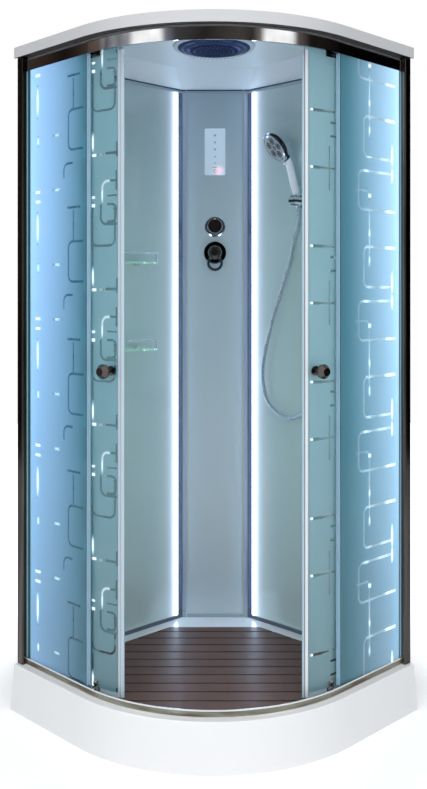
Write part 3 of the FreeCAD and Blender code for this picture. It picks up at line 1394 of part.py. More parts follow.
def make_holder():
    base = turned("holder_base", [
        ("0", "0"),
        ("holder_base_radius", "0"),
        ("holder_base_radius", "holder_base_thick / 2"),
        ("holder_base_radius * 0.8", "holder_base_thick"),
        ("0", "holder_base_thick"),
    ])
    on_wall = vec("-holder_x", "wall_face - fit_gap", "holder_height")
    keep("handset_wall_base", base, facing(on_wall, Vec(0, -1, 0)))
    barrel = turned("holder_barrel", [
        ("0", "holder_base_thick + fit_gap"),
        ("holder_radius", "holder_base_thick + fit_gap"),
        ("holder_radius", "holder_reach - holder_base_thick / 2"),
        ("holder_radius * 0.85", "holder_reach"),
        ("0", "holder_reach"),
    ])
    barrel.Placement = facing(on_wall, Vec(0, -1, 0))
    cone = doc.addObject("Part::Cone", "holder_socket")
    bind(cone, "Radius1", "nut_low_radius + nut_gap")
    bind(cone, "Radius2", "nut_high_radius + nut_gap")
    bind(cone, "Height", "2 * nut_half_length")
    cone.Placement = HANDSET.multiply(Place(vec("0", "0", "-nut_half_length"), Rot()))
    keep("handset_cradle", cut("handset_cradle", barrel, cone))


def make_handset():
    nut = turned("hose_nut_upper", [
        ("hose_radius + hose_bore_gap", "-nut_half_length"),
        ("nut_low_radius", "-nut_half_length"),
        ("nut_high_radius", "nut_half_length"),
        ("hose_radius + hose_bore_gap", "nut_half_length"),
    ])
    keep("hose_nut_upper", nut, HANDSET)
    # handle lofted through rings on a bowed line
    stations = [
        ("0", "nut_half_length + fit_gap", "handle_low_radius"),
        ("handle_bow / 3", "handle_mid * 0.6", "handle_mid_radius"),
        ("handle_bow", "handle_mid", "handle_mid_radius"),
        ("handle_top_bow", "handle_top", "handle_top_radius"),
        ("head_forward - head_deep", "head_up - head_radius / 3", "handle_top_radius"),
    ]
    rings = []
    for x, z, radius in stations:
        rings.append(Part.Wire(Part.Circle(vec(x, "0", z), Vec(0, 0, 1), val(radius)).toShape()))
    handle = doc.addObject("Part::Feature", "handle_loft")
    handle.Shape = Part.makeLoft(rings, True, False)
    dome = turned("head_dome", [
        ("0", "-head_deep"),
        ("head_radius * 0.45", "-head_deep * 0.92"),
        ("head_radius * 0.75", "-head_deep * 0.66"),
        ("head_radius * 0.95", "-head_deep * 0.3"),
        ("head_radius - head_rim", "-fit_gap"),
        ("0", "-fit_gap"),
    ])
    dome.Placement = HANDSET.inverse().multiply(HEAD)
    keep("handset_body", fuse("handset_body", [handle, dome]), HANDSET)
    rim = turned("selector_ring", [
        ("head_radius - head_rim + fit_gap", "-fit_gap"),
        ("head_radius", "-head_deep * 0.15"),
        ("head_radius", "head_rim / 3"),
        ("head_radius - head_rim / 3", "head_rim * 0.7"),
        ("face_radius + fit_gap", "head_rim * 0.7"),
        ("face_radius + fit_gap", "fit_gap / 2"),
    ])
    tab = cuboid("selector_tab", ("-selector_wide / 2", "-head_radius - selector_long", "-fit_gap"),
                 ("selector_wide / 2", "head_rim / 3 - head_radius", "head_rim * 0.6"))
    keep("spray_selector", fuse("spray_selector", [rim, tab]), HEAD)
    face = turned("spray_face", [
        ("0", "fit_gap / 2"),
        ("face_radius", "fit_gap / 2"),
        ("face_radius", "face_thick * 0.8"),
        ("face_radius * 0.9", "face_thick"),
        ("0", "face_thick"),
    ])
    keep("spray_face", face, HEAD)


# Middle line of the hose, from the wall outlet down, round and up to the handset
HOSE_ROUTE = [
    (150, 401, 1338), (149, 403, 1270), (143, 409, 1180), (130, 415, 1095), (107, 419, 1015),
    (73, 419, 940), (10, 419, 886), (-60, 420, 861), (-120, 420, 882), (-163, 420, 925), (-182, 420, 1001),
    (-173, 420, 1079), (-135, 420, 1204), (-95, 420, 1304), (-52, 418, 1402), (-27, 414, 1489),
]


def make_hose():
    rose = turned("outlet_rose", [
        ("outlet_body_radius + fit_gap", "0"),
        ("outlet_rose_radius", "0"),
        ("outlet_rose_radius", "outlet_rose_thick / 2"),
        ("outlet_rose_radius * 0.8", "outlet_rose_thick"),
        ("outlet_body_radius + fit_gap", "outlet_rose_thick"),
    ])
    on_wall = vec("outlet_x", "wall_face - fit_gap", "outlet_z")
    rose.Placement = facing(on_wall, Vec(0, -1, 0))
    wall_end = vec("outlet_x", "wall_back + fit_gap", "outlet_z")
    knee = vec("outlet_x", "wall_face - outlet_reach", "outlet_z")
    mouth = vec("outlet_x", "wall_face - outlet_reach", "outlet_z - outlet_drop")
    elbow = tube("outlet_elbow", [wall_end, knee, mouth], val("outlet_body_radius"))
    keep("outlet_elbow", group("outlet_elbow", [elbow, rose]))
    nut = turned("hose_nut_lower", [
        ("hose_radius + fit_gap / 2", "0"),
        ("end_nut_radius", "0"),
        ("end_nut_radius * 1.1", "end_nut_length / 4"),
        ("end_nut_radius * 1.1", "end_nut_length"),
        ("hose_radius + fit_gap / 2", "end_nut_length"),
    ])
    nut_at = vec("outlet_x", "wall_face - outlet_reach", "outlet_z - outlet_drop - end_nut_length - fit_gap")
    keep("hose_nut_lower", nut, Place(nut_at, Rot()))
    points = [vec("outlet_x", "wall_face - outlet_reach", "outlet_z - outlet_drop - 2 * fit_gap")]
    points += [Vec(*p) for p in HOSE_ROUTE]
    points.append(SOCKET - HANDSET_AXIS * val("hose_entry"))
    points.append(SOCKET + HANDSET_AXIS * val("nut_half_length"))
    keep("shower_hose", tube("shower_hose", points, val("hose_radius")))


# Shelves on the left wall
def make_shelves():
    """Two glass shelves on the left wall, each with a gallery rail in front and two wall clips."""
    wall = "-(wall_face - clip_gap)"
    back = f"{wall} + clip_back"
    front = f"{wall} + shelf_deep"
    inner_y, outer_y = "shelf_in_y", "shelf_in_y - shelf_long"
    plates, rails, clips = [], [], []
    for name, level in (("upper", "shelf_upper"), ("lower", "shelf_lower")):
        under = f"{level} - shelf_thick"
        plates.append(block(f"shelf_{name}", [
            (back, outer_y),
            (f"{front} - shelf_round", outer_y),
            (front, f"{outer_y} + shelf_round",
             f"{front} - shelf_round", f"{outer_y} + shelf_round", 1),
            (front, f"{inner_y} - shelf_round"),
            (f"{front} - shelf_round", inner_y,
             f"{front} - shelf_round", f"{inner_y} - shelf_round", 1),
            (back, inner_y),
        ], under, level))
        rail_x = f"{front} - shelf_rail_inset"
        y_in, y_out = f"{inner_y} - shelf_post_inset", f"{outer_y} + shelf_post_inset"
        bar = cylinder(f"bar_{name}", "shelf_rail_radius", "shelf_long - 2 * shelf_post_inset",
                       vec(rail_x, y_out, f"{level} + shelf_rail_up"), Vec(0, 1, 0))
        pieces = [bar]
        for side, y in (("in", y_in), ("out", y_out)):
            pieces.append(cylinder(f"leg_{name}_{side}", "shelf_rail_radius",
                                   "shelf_rail_up + shelf_rail_radius - clip_gap",
                                   vec(rail_x, y, f"{level} + clip_gap")))
        rails.append(fuse(f"shelf_{name}_rail", pieces))
        for side, y in (("in", f"{inner_y} - clip_inset"), ("out", f"{outer_y} + clip_inset")):
            solid = cuboid(f"clip_{name}_{side}_block",
                           (wall, f"{y} - clip_wide / 2", f"{under} + shelf_thick / 2 - clip_tall / 2"),
                           (f"{wall} + clip_deep", f"{y} + clip_wide / 2",
                            f"{under} + shelf_thick / 2 + clip_tall / 2"))
            slot = cuboid(f"clip_{name}_{side}_slot",
                          (f"{back} - clip_gap", f"{y} - clip_wide", f"{under} - clip_gap"),
                          (f"{wall} + clip_deep + overrun", f"{y} + clip_wide", f"{level} + clip_gap"))
            clips.append(cut(f"clip_{name}_{side}", solid, slot))
    keep("shelf_glasses", group("shelf_glasses", plates))
    keep("shelf_fittings", group("shelf_fittings", rails + clips))


for make in (
    make_tray, make_apron, make_frame, make_feet, make_drain, make_deck, make_walls, make_trims, make_posts,
    make_rails, make_panes, make_doors, make_roof, make_overhead, make_controls, make_services, make_holder,
    make_handset, make_hose, make_shelves,
):
    make()
doc.recompute()

faults = []
for thing in doc.Objects:
    if "Invalid" in thing.State or "Error" in thing.State:
        faults.append(f"{thing.Name} is {thing.State}")
for name, thing in PARTS.items():
    shape = thing.Shape
    if shape.isNull() or not shape.isValid() or not shape.Solids:
        faults.append(f"{name} has no valid solid")
if faults:
    raise RuntimeError("; ".join(faults))

os.makedirs("parts", exist_ok=True)
for name, thing in PARTS.items():
    thing.Shape.exportStep(f"parts/{name}.step")
print(len(PARTS), "sub-parts written")
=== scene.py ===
"""Looks of the corner shower cabin: materials, fine pieces, camera and lights round its fixed CAD frame."""
import math

import bpy
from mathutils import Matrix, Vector


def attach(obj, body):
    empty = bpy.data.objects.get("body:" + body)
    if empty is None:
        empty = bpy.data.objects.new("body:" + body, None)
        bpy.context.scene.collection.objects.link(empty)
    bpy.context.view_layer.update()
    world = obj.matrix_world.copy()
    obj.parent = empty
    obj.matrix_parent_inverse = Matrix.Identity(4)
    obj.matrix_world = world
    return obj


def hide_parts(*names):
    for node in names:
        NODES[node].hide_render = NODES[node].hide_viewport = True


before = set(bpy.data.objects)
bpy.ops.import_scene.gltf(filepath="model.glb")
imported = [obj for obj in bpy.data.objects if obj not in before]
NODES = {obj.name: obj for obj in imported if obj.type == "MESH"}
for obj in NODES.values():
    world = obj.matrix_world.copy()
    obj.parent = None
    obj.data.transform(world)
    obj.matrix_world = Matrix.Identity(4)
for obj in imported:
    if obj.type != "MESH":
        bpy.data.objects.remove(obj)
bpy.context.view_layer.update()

MM = 0.001
SCENE = bpy.context.scene

# Plan of the cabin, in metres, as in the CAD source
HALF_SIDE = 0.45
BEND_RADIUS = 0.55
SKIRT_FLARE = 0.012
WALL_THICK = 0.015
DOOR_INSET = 0.047
RAIL_INSET = 0.026
BEND = Vector((HALF_SIDE - BEND_RADIUS, BEND_RADIUS - HALF_SIDE, 0))
WALL_FACE = HALF_SIDE - WALL_THICK
DOOR_OUT = BEND_RADIUS - SKIRT_FLARE - DOOR_INSET
RAIL_RADIUS = BEND_RADIUS - SKIRT_FLARE - RAIL_INSET

# The right door's hinge pole and its turn from shut to the half-open rest
POLE_BACK = 0.1258
POLE_SIDE = 0.0391
DOOR_POLE = Vector((BEND.x - POLE_BACK, BEND.y + POLE_SIDE, 0))
DOOR_TURN = math.radians(25.4)

# Width of the strip of ornament that a door shows at rest
DOOR_MOTIF = 0.127

# Middles of the light strips along a wall, inner and outer, and the overhead shower's middle
INNER_STRIP = 0.2346
OUTER_STRIP = 0.3887
OVERHEAD = Vector((-0.01414, 0.01414, 0))

# Heights of the two controls, and the level between their roses
DIVERTER_HEIGHT = 1.5474
MIXER_HEIGHT = 1.452
BETWEEN_ROSES = 1.5

# The way the cabin faces, and the way from the hand shower's middle to the side of its rim painted black as
# a dark reflection
OUTWARD = Vector((1, -1, 0)).normalized()
DARK_REFLECTION_SIDE = (0.56, 0.56, 0.60)


# Material building blocks
class Nodes:
    """A material's node tree with short calls for the nodes used here."""

    def __init__(self, name):
        self.material = bpy.data.materials.new(name)
        self.material.use_nodes = True
        self.tree = self.material.node_tree
        self.tree.nodes.clear()
        self.out = self.add("ShaderNodeOutputMaterial")

    def add(self, kind, **inputs):
        node = self.tree.nodes.new(kind)
        for key, value in inputs.items():
            self.put(node, key, value)
        return node

    def put(self, node, key, value):
        """Sets a socket by its name with underscores for spaces, or links an output to it."""
        socket = node.inputs[key] if isinstance(key, int) else node.inputs[key.replace("_", " ")]
        if isinstance(value, bpy.types.NodeSocket):
            self.tree.links.new(value, socket)
        elif isinstance(value, (tuple, list)) and len(value) == 3 and socket.type == "RGBA":
            socket.default_value = (*value, 1)
        else:
            socket.default_value = value

    def math(self, operation, a, b=0.0):
        node = self.add("ShaderNodeMath")
        node.operation = operation
        self.put(node, 0, a)
        self.put(node, 1, b)
        return node.outputs[0]

    def plus(self, a, b):
        return self.math("ADD", a, b)

    def minus(self, a, b):
        return self.math("SUBTRACT", a, b)

    def times(self, a, b):
        return self.math("MULTIPLY", a, b)

    def above(self, value, limit):
        return self.math("GREATER_THAN", value, limit)

    def below(self, value, limit):
        return self.math("LESS_THAN", value, limit)

    def length(self, a, b):
        """Length of the way made of two steps at right angles."""
        return self.math("SQRT", self.plus(self.math("POWER", a, 2.0), self.math("POWER", b, 2.0)))

    def diagonal(self, x, y):
        """Metres to the right, seen from where the cabin faces."""
        return self.times(self.plus(x, y), math.sqrt(0.5))

    def vector(self, operation, a, b=(0, 0, 0)):
        node = self.add("ShaderNodeVectorMath")
        node.operation = operation
        self.put(node, 0, a)
        self.put(node, 1, b)
        return node

    def place(self):
        return self.add("ShaderNodeTexCoord").outputs["Object"]

    def split(self, vector):
        return self.add("ShaderNodeSeparateXYZ", Vector=vector).outputs

    def join(self, x, y, z):
        node = self.add("ShaderNodeCombineXYZ")
        for i, value in enumerate((x, y, z)):
            self.put(node, i, value)
        return node.outputs[0]

    def noise(self, vector, scale, detail=3.0, roughness=0.5):
        node = self.add("ShaderNodeTexNoise", Vector=vector, Scale=scale, Detail=detail, Roughness=roughness)
        return node.outputs["Fac"]

    def blend(self, factor, a, b):
        """Colour between a and b."""
        node = self.add("ShaderNodeMix")
        node.data_type = "RGBA"
        for i, value in ((0, factor), (6, a), (7, b)):
            self.put(node, i, value)
        return node.outputs[2]

    def span(self, value, low, high, to_low=0.0, to_high=1.0):
        node = self.add("ShaderNodeMapRange")
        for key, number in (("From Min", low), ("From Max", high), ("To Min", to_low), ("To Max", to_high)):
            node.inputs[key].default_value = number
        self.put(node, "Value", value)
        return node.outputs[0]

    def band(self, value, low, high, soft):
        """1 between two values, with soft edges."""
        rise = self.span(value, low - soft, low + soft)
        return self.times(rise, self.span(value, high + soft, high - soft))

    def facing(self, direction):
        """How far the surface looks towards a direction."""
        normal = self.add("ShaderNodeNewGeometry").outputs["True Normal"]
        return self.vector("DOT_PRODUCT", normal, tuple(direction)).outputs["Value"]

    def bump(self, height, strength, distance):
        return self.add("ShaderNodeBump", Height=height, Strength=strength, Distance=distance).outputs[0]

    def mix(self, factor, a, b):
        node = self.add("ShaderNodeMixShader")
        for i, value in enumerate((factor, a, b)):
            self.put(node, i, value)
        return node.outputs[0]

    def both(self, a, b):
        """The light of two shaders added up."""
        node = self.add("ShaderNodeAddShader")
        self.put(node, 0, a)
        self.put(node, 1, b)
        return node.outputs[0]

    def principled(self, **inputs):
        return self.add("ShaderNodeBsdfPrincipled", **inputs)

    def finish(self, shader):
        self.tree.links.new(shader, self.out.inputs["Surface"])
        return self.material


def plain(name, color, rough, spread=0.04, grain=60.0, bump=0.02, depth=0.0003, **extra):
    """Solid material with slight cloudiness in its colour and roughness and a fine uneven surface."""
    n = Nodes(name)
    at = n.place()
    cloud = n.noise(at, 9.0)
    fine = n.noise(at, grain, 4.0)
    darker = tuple(c * (1 - spread) for c in color)
    shader = n.principled(Metallic=extra.pop("metallic", 0.0), **extra)
    n.put(shader, "Base Color", n.blend(cloud, darker, color))
    n.put(shader, "Roughness", n.span(fine, 0.3, 0.7, rough * 0.85, rough * 1.15))
    n.put(shader, "Normal", n.bump(fine, bump, depth))
    return n.finish(shader.outputs[0])


def make_acrylic():
    """Glossy white of the tray."""
    return plain("acrylic_white", (0.85, 0.845, 0.84), 0.22, spread=0.015, grain=38.0, depth=0.0002,
                 Coat_Weight=0.35, Coat_Roughness=0.08)


def make_roof():
    """Moulded roof with a satin ceiling, a slab painted duller as shade, and painted shadow under the slab
    beyond the rail.
    """
    n = Nodes("roof_satin")
    at = n.place()
    x, y = n.split(at)[:2]
    off_x = n.math("MAXIMUM", n.minus(x, BEND.x), 0.0)
    off_y = n.math("MAXIMUM", n.minus(BEND.y, y), 0.0)
    beyond_rail = n.above(n.length(off_x, off_y), RAIL_RADIUS)
    level = n.facing((0, 0, 1))
    fine = n.noise(at, 38.0, 4.0)
    ceiling = n.blend(n.noise(at, 4.0), (0.82, 0.82, 0.83), (0.84, 0.84, 0.85))
    # Painted shade: the slab and every face that doesn't look up get a duller grey.
    slab = (0.56, 0.56, 0.565)
    shell = n.blend(n.above(level, 0.5), n.blend(beyond_rail, ceiling, slab), slab)
    # Painted shadow: faces that look down beyond the rail are painted near-black.
    lip = n.times(n.below(level, -0.5), beyond_rail)
    shader = n.principled()
    n.put(shader, "Base Color", n.blend(lip, shell, (0.018, 0.016, 0.015)))
    n.put(shader, "Roughness", n.span(fine, 0.3, 0.7, 0.42, 0.52))
    n.put(shader, "Normal", n.bump(fine, 0.03, 0.0002))
    return n.finish(shader.outputs[0])


def make_chrome(name="chrome", color=(0.82, 0.83, 0.84), rough=0.06):
    """Polished metal."""
    return plain(name, color, rough, spread=0.03, grain=240.0, bump=0.01, depth=0.0001, metallic=1.0)


def make_brushed(name, color, rough, across):
    """Metal with fine lines drawn out along the axis whose share is small."""
    n = Nodes(name)
    stretched = n.vector("MULTIPLY", n.place(), across).outputs[0]
    lines = n.noise(stretched, 900.0, 2.0)
    shader = n.principled(Metallic=1.0)
    n.put(shader, "Base Color", n.blend(lines, tuple(c * 0.9 for c in color), color))
    n.put(shader, "Roughness", n.span(lines, 0.3, 0.7, rough * 0.8, rough * 1.2))
    n.put(shader, "Normal", n.bump(lines, 0.03, 0.0001))
    return n.finish(shader.outputs[0])


def make_post_metal():
    """Polished dark metal with long faint streaks up its length."""
    n = Nodes("post_metal")
    streaks = n.noise(n.vector("MULTIPLY", n.place(), (60.0, 60.0, 1.6)).outputs[0], 1.0, 3.0)
    color = n.blend(n.span(streaks, 0.35, 0.7), (0.045, 0.042, 0.040), (0.19, 0.165, 0.145))
    shader = n.principled(Metallic=1.0)
    n.put(shader, "Base Color", color)
    n.put(shader, "Roughness", n.span(streaks, 0.3, 0.7, 0.08, 0.2))
    return n.finish(shader.outputs[0])


def painted_strip_glow(n, along, spots, reach, half_strip=0.005):
    """Mask of painted light, falling off with distance from the light strips at these places along a wall.
    """
    total = None
    for spot in spots:
        off = n.math("ABSOLUTE", n.minus(along, spot))
        past = n.math("MAXIMUM", n.minus(off, half_strip), 0.0)
        near = n.math("EXPONENT", n.math("DIVIDE", past, -reach))
        total = near if total is None else n.plus(total, near)
    return total


def make_wall_glass(name, axis, sign, halo):
    """Grey-green back-painted glass under a clear gloss, painted darker high up as shade, with painted glow
    and halo by its strips.
    """
    n = Nodes(name)
    at = n.place()
    place = n.split(at)
    cloud = n.noise(at, 3.0)
    fine = n.noise(at, 30.0)
    shader = n.principled(Coat_Weight=1.0, Coat_Roughness=0.03, Coat_IOR=1.9, IOR=1.5)
    low = n.blend(cloud, (0.435, 0.565, 0.55), (0.495, 0.62, 0.60))
    # Painted shade: the glass is painted darker towards the top.
    n.put(shader, "Base Color", n.blend(n.span(place[2], 1.5, 2.0), low, (0.34, 0.44, 0.45)))
    n.put(shader, "Roughness", n.span(fine, 0.3, 0.7, 0.10, 0.16))
    spots = (-sign * INNER_STRIP, sign * OUTER_STRIP)
    # Painted light: a near glow and a wider halo beside each strip, given off by the glass itself.
    near = n.times(painted_strip_glow(n, place[axis], spots, reach=0.011), 1.6)
    wide = n.times(painted_strip_glow(n, place[axis], spots, reach=0.045), halo)
    inside = n.above(n.facing(OUTWARD), 0.3)
    n.put(shader, "Emission Color", (0.68, 0.76, 1.0))
    n.put(shader, "Emission Strength", n.times(n.plus(near, wide), inside))
    return n.finish(shader.outputs[0])


def make_corner_panel():
    """Pale satin panel between the wall glasses, painted greyer towards the roof as shade."""
    n = Nodes("corner_panel_satin")
    at = n.place()
    fine = n.noise(at, 420.0, 3.0)
    cloud = n.noise(at, 2.5)
    shader = n.principled(Metallic=0.2)
    low = n.blend(cloud, (0.63, 0.715, 0.735), (0.69, 0.77, 0.785))
    # Painted shade: the panel is painted greyer towards the roof.
    n.put(shader, "Base Color", n.blend(n.span(n.split(at)[2], 1.55, 2.02), low, (0.42, 0.50, 0.56)))
    n.put(shader, "Roughness", n.span(fine, 0.3, 0.7, 0.38, 0.46))
    n.put(shader, "Normal", n.bump(fine, 0.06, 0.0001))
    return n.finish(shader.outputs[0])


def make_light_strip(bead_pitch=0.012):
    """Beaded blue-white light on the room's side and grey plastic at the back."""
    n = Nodes("light_strip")
    beads = n.math("SINE", n.times(n.split(n.place())[2], 2 * math.pi / bead_pitch))
    bead = n.span(beads, -1.0, 1.0)
    glow = n.add("ShaderNodeEmission", Strength=12.0)
    n.put(glow, "Color", n.blend(bead, (0.48, 0.68, 1.0), (0.58, 0.78, 1.0)))
    back = n.principled(Roughness=0.4)
    n.put(back, "Base Color", n.blend(bead, (0.50, 0.52, 0.54), (0.56, 0.58, 0.60)))
    inside = n.above(n.facing(OUTWARD), -0.3)
    return n.finish(n.mix(inside, back.outputs[0], glow.outputs[0]))


def make_deck(groove_pitch=0.0042):
    """Brown slats with grain drawn out across the diagonal, fine grooves, and sides painted near-black as
    shade.
    """
    n = Nodes("deck_wood")
    x, y, z = n.split(n.place())
    u = n.diagonal(x, y)
    d = n.times(n.minus(y, x), math.sqrt(0.5))
    grain = n.noise(n.join(n.times(u, 6.0), n.times(d, 90.0), n.times(z, 40.0)), 1.0, 6.0, 0.6)
    broad = n.noise(n.join(n.times(u, 2.0), n.times(d, 16.0), z), 1.0, 2.0)
    grooves = n.math("SINE", n.times(d, 2 * math.pi / groove_pitch))
    dark = n.blend(broad, (0.062, 0.026, 0.019), (0.095, 0.041, 0.030))
    wood = n.blend(n.span(grain, 0.35, 0.65), dark, (0.150, 0.072, 0.053))
    level = n.facing((0, 0, 1))
    shader = n.principled(Specular_IOR_Level=0.3)
    # Painted shade: faces that don't look up, the slats' sides, are painted near-black.
    n.put(shader, "Base Color", n.blend(n.span(level, 0.4, 0.9), (0.006, 0.004, 0.004), wood))
    n.put(shader, "Roughness", n.span(grain, 0.3, 0.7, 0.34, 0.52))
    n.put(shader, "Normal", n.bump(n.plus(n.times(grooves, 0.5), grain), 0.35, 0.0006))
    return n.finish(shader.outputs[0])


# Frosted glass with its ornament
def bar_mask(n, across, up, bar, soft=False):
    """1 inside the bar, or a rise to 1 from the ends of its long way."""
    inside = None
    longest = max(bar[1] - bar[0], bar[3] - bar[2])
    for value, low, high in ((across, bar[0], bar[1]), (up, bar[2], bar[3])):
        off = n.math("ABSOLUTE", n.minus(value, (low + high) / 2 * MM))
        half = (high - low) / 2 * MM
        near = n.below(off, half)
        if soft and high - low == longest:
            near = n.times(near, n.span(off, half, half * 0.3))
        inside = near if inside is None else n.times(inside, near)
    return inside


def ring_mask(n, across, up, ring):
    """1 on the kept stretch of a rounded rectangle's outline."""
    left, right, low, high, corner, width = (value * MM for value in ring[:6])
    out_x = n.math("ABSOLUTE", n.minus(across, (left + right) / 2))
    out_z = n.math("ABSOLUTE", n.minus(up, (low + high) / 2))
    out_x = n.math("MAXIMUM", n.minus(out_x, (right - left) / 2 - corner), 0.0)
    out_z = n.math("MAXIMUM", n.minus(out_z, (high - low) / 2 - corner), 0.0)
    off_line = n.math("ABSOLUTE", n.minus(n.length(out_x, out_z), corner))
    return n.times(n.below(off_line, width / 2), bar_mask(n, across, up, ring[6:10]))


def greatest(n, values):
    total = values[0]
    for value in values[1:]:
        total = n.math("MAXIMUM", total, value)
    return total


def line_masks(n, across, up, pattern):
    """Masks of a pattern's clear lines, and of the painted light that shows in some of them."""
    lines, painted_glows = [], []
    for bar in pattern["bars"]:
        lines.append(bar_mask(n, across, up, bar))
        if bar[4] > 0:
            painted_glows.append(n.times(bar_mask(n, across, up, bar, soft=True), bar[4]))
    for ring in pattern["rings"]:
        lines.append(ring_mask(n, across, up, ring))
        if ring[10] > 0:
            painted_glows.append(n.times(lines[-1], ring[10]))
    return greatest(n, lines), greatest(n, painted_glows)


def frosted_sheet(n, frost, cloud, height):
    """Frosted glass, darker at its foot, that also scatters light from behind."""
    sheet = n.principled(IOR=1.45, Roughness=0.45, Coat_Weight=0.5, Coat_Roughness=0.04)
    n.put(sheet, "Transmission Weight", 0.55)
    foot = tuple(c * 0.78 for c in frost)
    tint = n.blend(cloud, frost, tuple(c * 1.06 for c in frost))
    n.put(sheet, "Base Color", n.blend(n.span(height, 0.2, 1.0), foot, tint))
    veil = n.add("ShaderNodeBsdfTranslucent", Color=tuple(c * 0.9 for c in frost))
    return n.mix(0.30, sheet.outputs[0], veil.outputs[0])


def clear_line(n, pattern):
    """Clear glass with the pattern's tint and haze."""
    clear = n.principled(IOR=1.45, Roughness=pattern["haze"])
    n.put(clear, "Transmission Weight", 1.0)
    n.put(clear, "Base Color", pattern["clear"])
    return clear.outputs[0]


def pane_painted_glow(n, across, height, pattern):
    """Painted glow of the light strips in a fixed pane, stronger towards its outer side and higher up."""
    inner_side, outer_side = 0.03, 0.31
    low, high = 0.3, 1.5
    painted_glow = n.add("ShaderNodeEmission", Color=pattern["painted_glow"])
    rise = n.math("POWER", n.span(across, inner_side, outer_side), pattern["rise"])
    n.put(painted_glow, "Strength", n.times(rise, n.span(height, low, high, 0.5, 1.0)))
    return painted_glow.outputs[0]


def pane_border(n, cloud):
    """Dark green edge of a fixed pane beside its post."""
    border = n.principled(Roughness=0.12, Coat_Weight=0.5)
    n.put(border, "Base Color", n.blend(cloud, (0.02, 0.09, 0.09), (0.04, 0.15, 0.14)))
    return border.outputs[0]


def make_frosted(name, along, pattern):
    """Frosted glass with the clear lines of a pattern, painted light in some lines, and a fixed pane's
    painted glow and border.
    """
    n = Nodes(name)
    at = n.place()
    place = n.split(at)
    height = place[2]
    across = along(n, place)
    base = pattern["base"] * MM
    pitch = pattern["pitch"] * MM
    up = n.plus(n.math("FLOORED_MODULO", n.minus(height, base), pitch), base)
    line, glow = line_masks(n, across, up, pattern)
    cloud = n.noise(at, 5.0)
    shader = frosted_sheet(n, pattern["frost"], cloud, height)
    # Painted light: a fixed pane also gets the strips' painted glow.
    if "painted_glow" in pattern:
        shader = n.both(shader, pane_painted_glow(n, across, height, pattern))
    shader = n.mix(line, shader, clear_line(n, pattern))
    # Painted light: emission that brightens some of the clear lines.
    painted_line_light = n.add("ShaderNodeEmission", Color=(0.84, 0.93, 1.0))
    n.put(painted_line_light, "Strength", glow)
    shader = n.both(shader, painted_line_light.outputs[0])
    if "border" in pattern:
        shader = n.mix(n.above(across, pattern["border"] * MM), shader, pane_border(n, cloud))
    return n.finish(shader)


# Clear lines in the frosted glass, in millimetres across the sheet from its free edge and up the cabin.
# A bar is (from, to across, from, to up, painted glow). A ring is a rounded outline: (from, to across, from,
# to up, corner, width, kept from, to across, kept from, to up, painted glow). All repeat by the pitch from
# the base up.
# A fixed pane also has the colour and the rise of its painted glow from the strips.
PANES = {
    "left": {
        "base": 1318.5, "pitch": 391.5, "frost": (0.17, 0.48, 0.59), "clear": (0.38, 0.64, 0.74),
        "painted_glow": (0.30, 0.36, 0.57), "rise": 0.85, "border": 304, "haze": 0.2,
        "bars": [
            (261, 269, 1452, 1556, 1.0), (258, 266, 1366, 1398, 0.6), (245, 282, 1582, 1590, 0.8),
            (245, 282, 1612, 1620, 0.8), (142, 184, 1386, 1394, 0.32), (142, 184, 1612, 1620, 0.32),
            (76, 82, 1452, 1550, 0), (45, 110, 1555, 1562, 0),
        ],
        "rings": [
            (-60, 104, 1338, 1457, 20, 7, 30, 110, 1330, 1465, 0),
            (-60, 127, 1560, 1690, 20, 7, 82, 132, 1648, 1696, 0),
        ],
    },
    "right": {
        "base": 1300, "pitch": 392.5, "frost": (0.19, 0.52, 0.62), "clear": (0.72, 0.88, 0.93),
        "painted_glow": (0.40, 0.43, 0.55), "rise": 1.3, "border": 313, "haze": 0.3,
        "bars": [
            (272, 280, 1643, 1692.4, 0.9), (272, 280, 1300, 1372, 0.9), (154, 161, 1384, 1596, 0.20),
            (154, 162, 1470, 1500, 0.6), (154, 162, 1384, 1420, 0.45), (152, 166, 1590, 1606, 0.6),
            (118, 190, 1551, 1558, 0.15), (231, 295, 1551, 1559, 0.55), (138, 190, 1440, 1448, 0.2),
            (231, 295, 1439, 1448, 0.6), (90, 150, 1609, 1616, 0.05), (138, 176, 1319, 1326, 0.3),
            (200, 275, 1318, 1326, 0.35), (120, 165, 1668, 1676, 0.35), (180, 275, 1668, 1676, 0.35),
        ],
        "rings": [
            (130, 400, 1322, 1444, 20, 7, 124, 273, 1316, 1450, 0.10),
            (104, 400, 1555, 1672, 20, 7, 98, 273, 1548, 1678, 0.10),
            (20, 158, 1500, 1612, 18, 7, 130, 163, 1590, 1620, 0.05),
        ],
    },
}
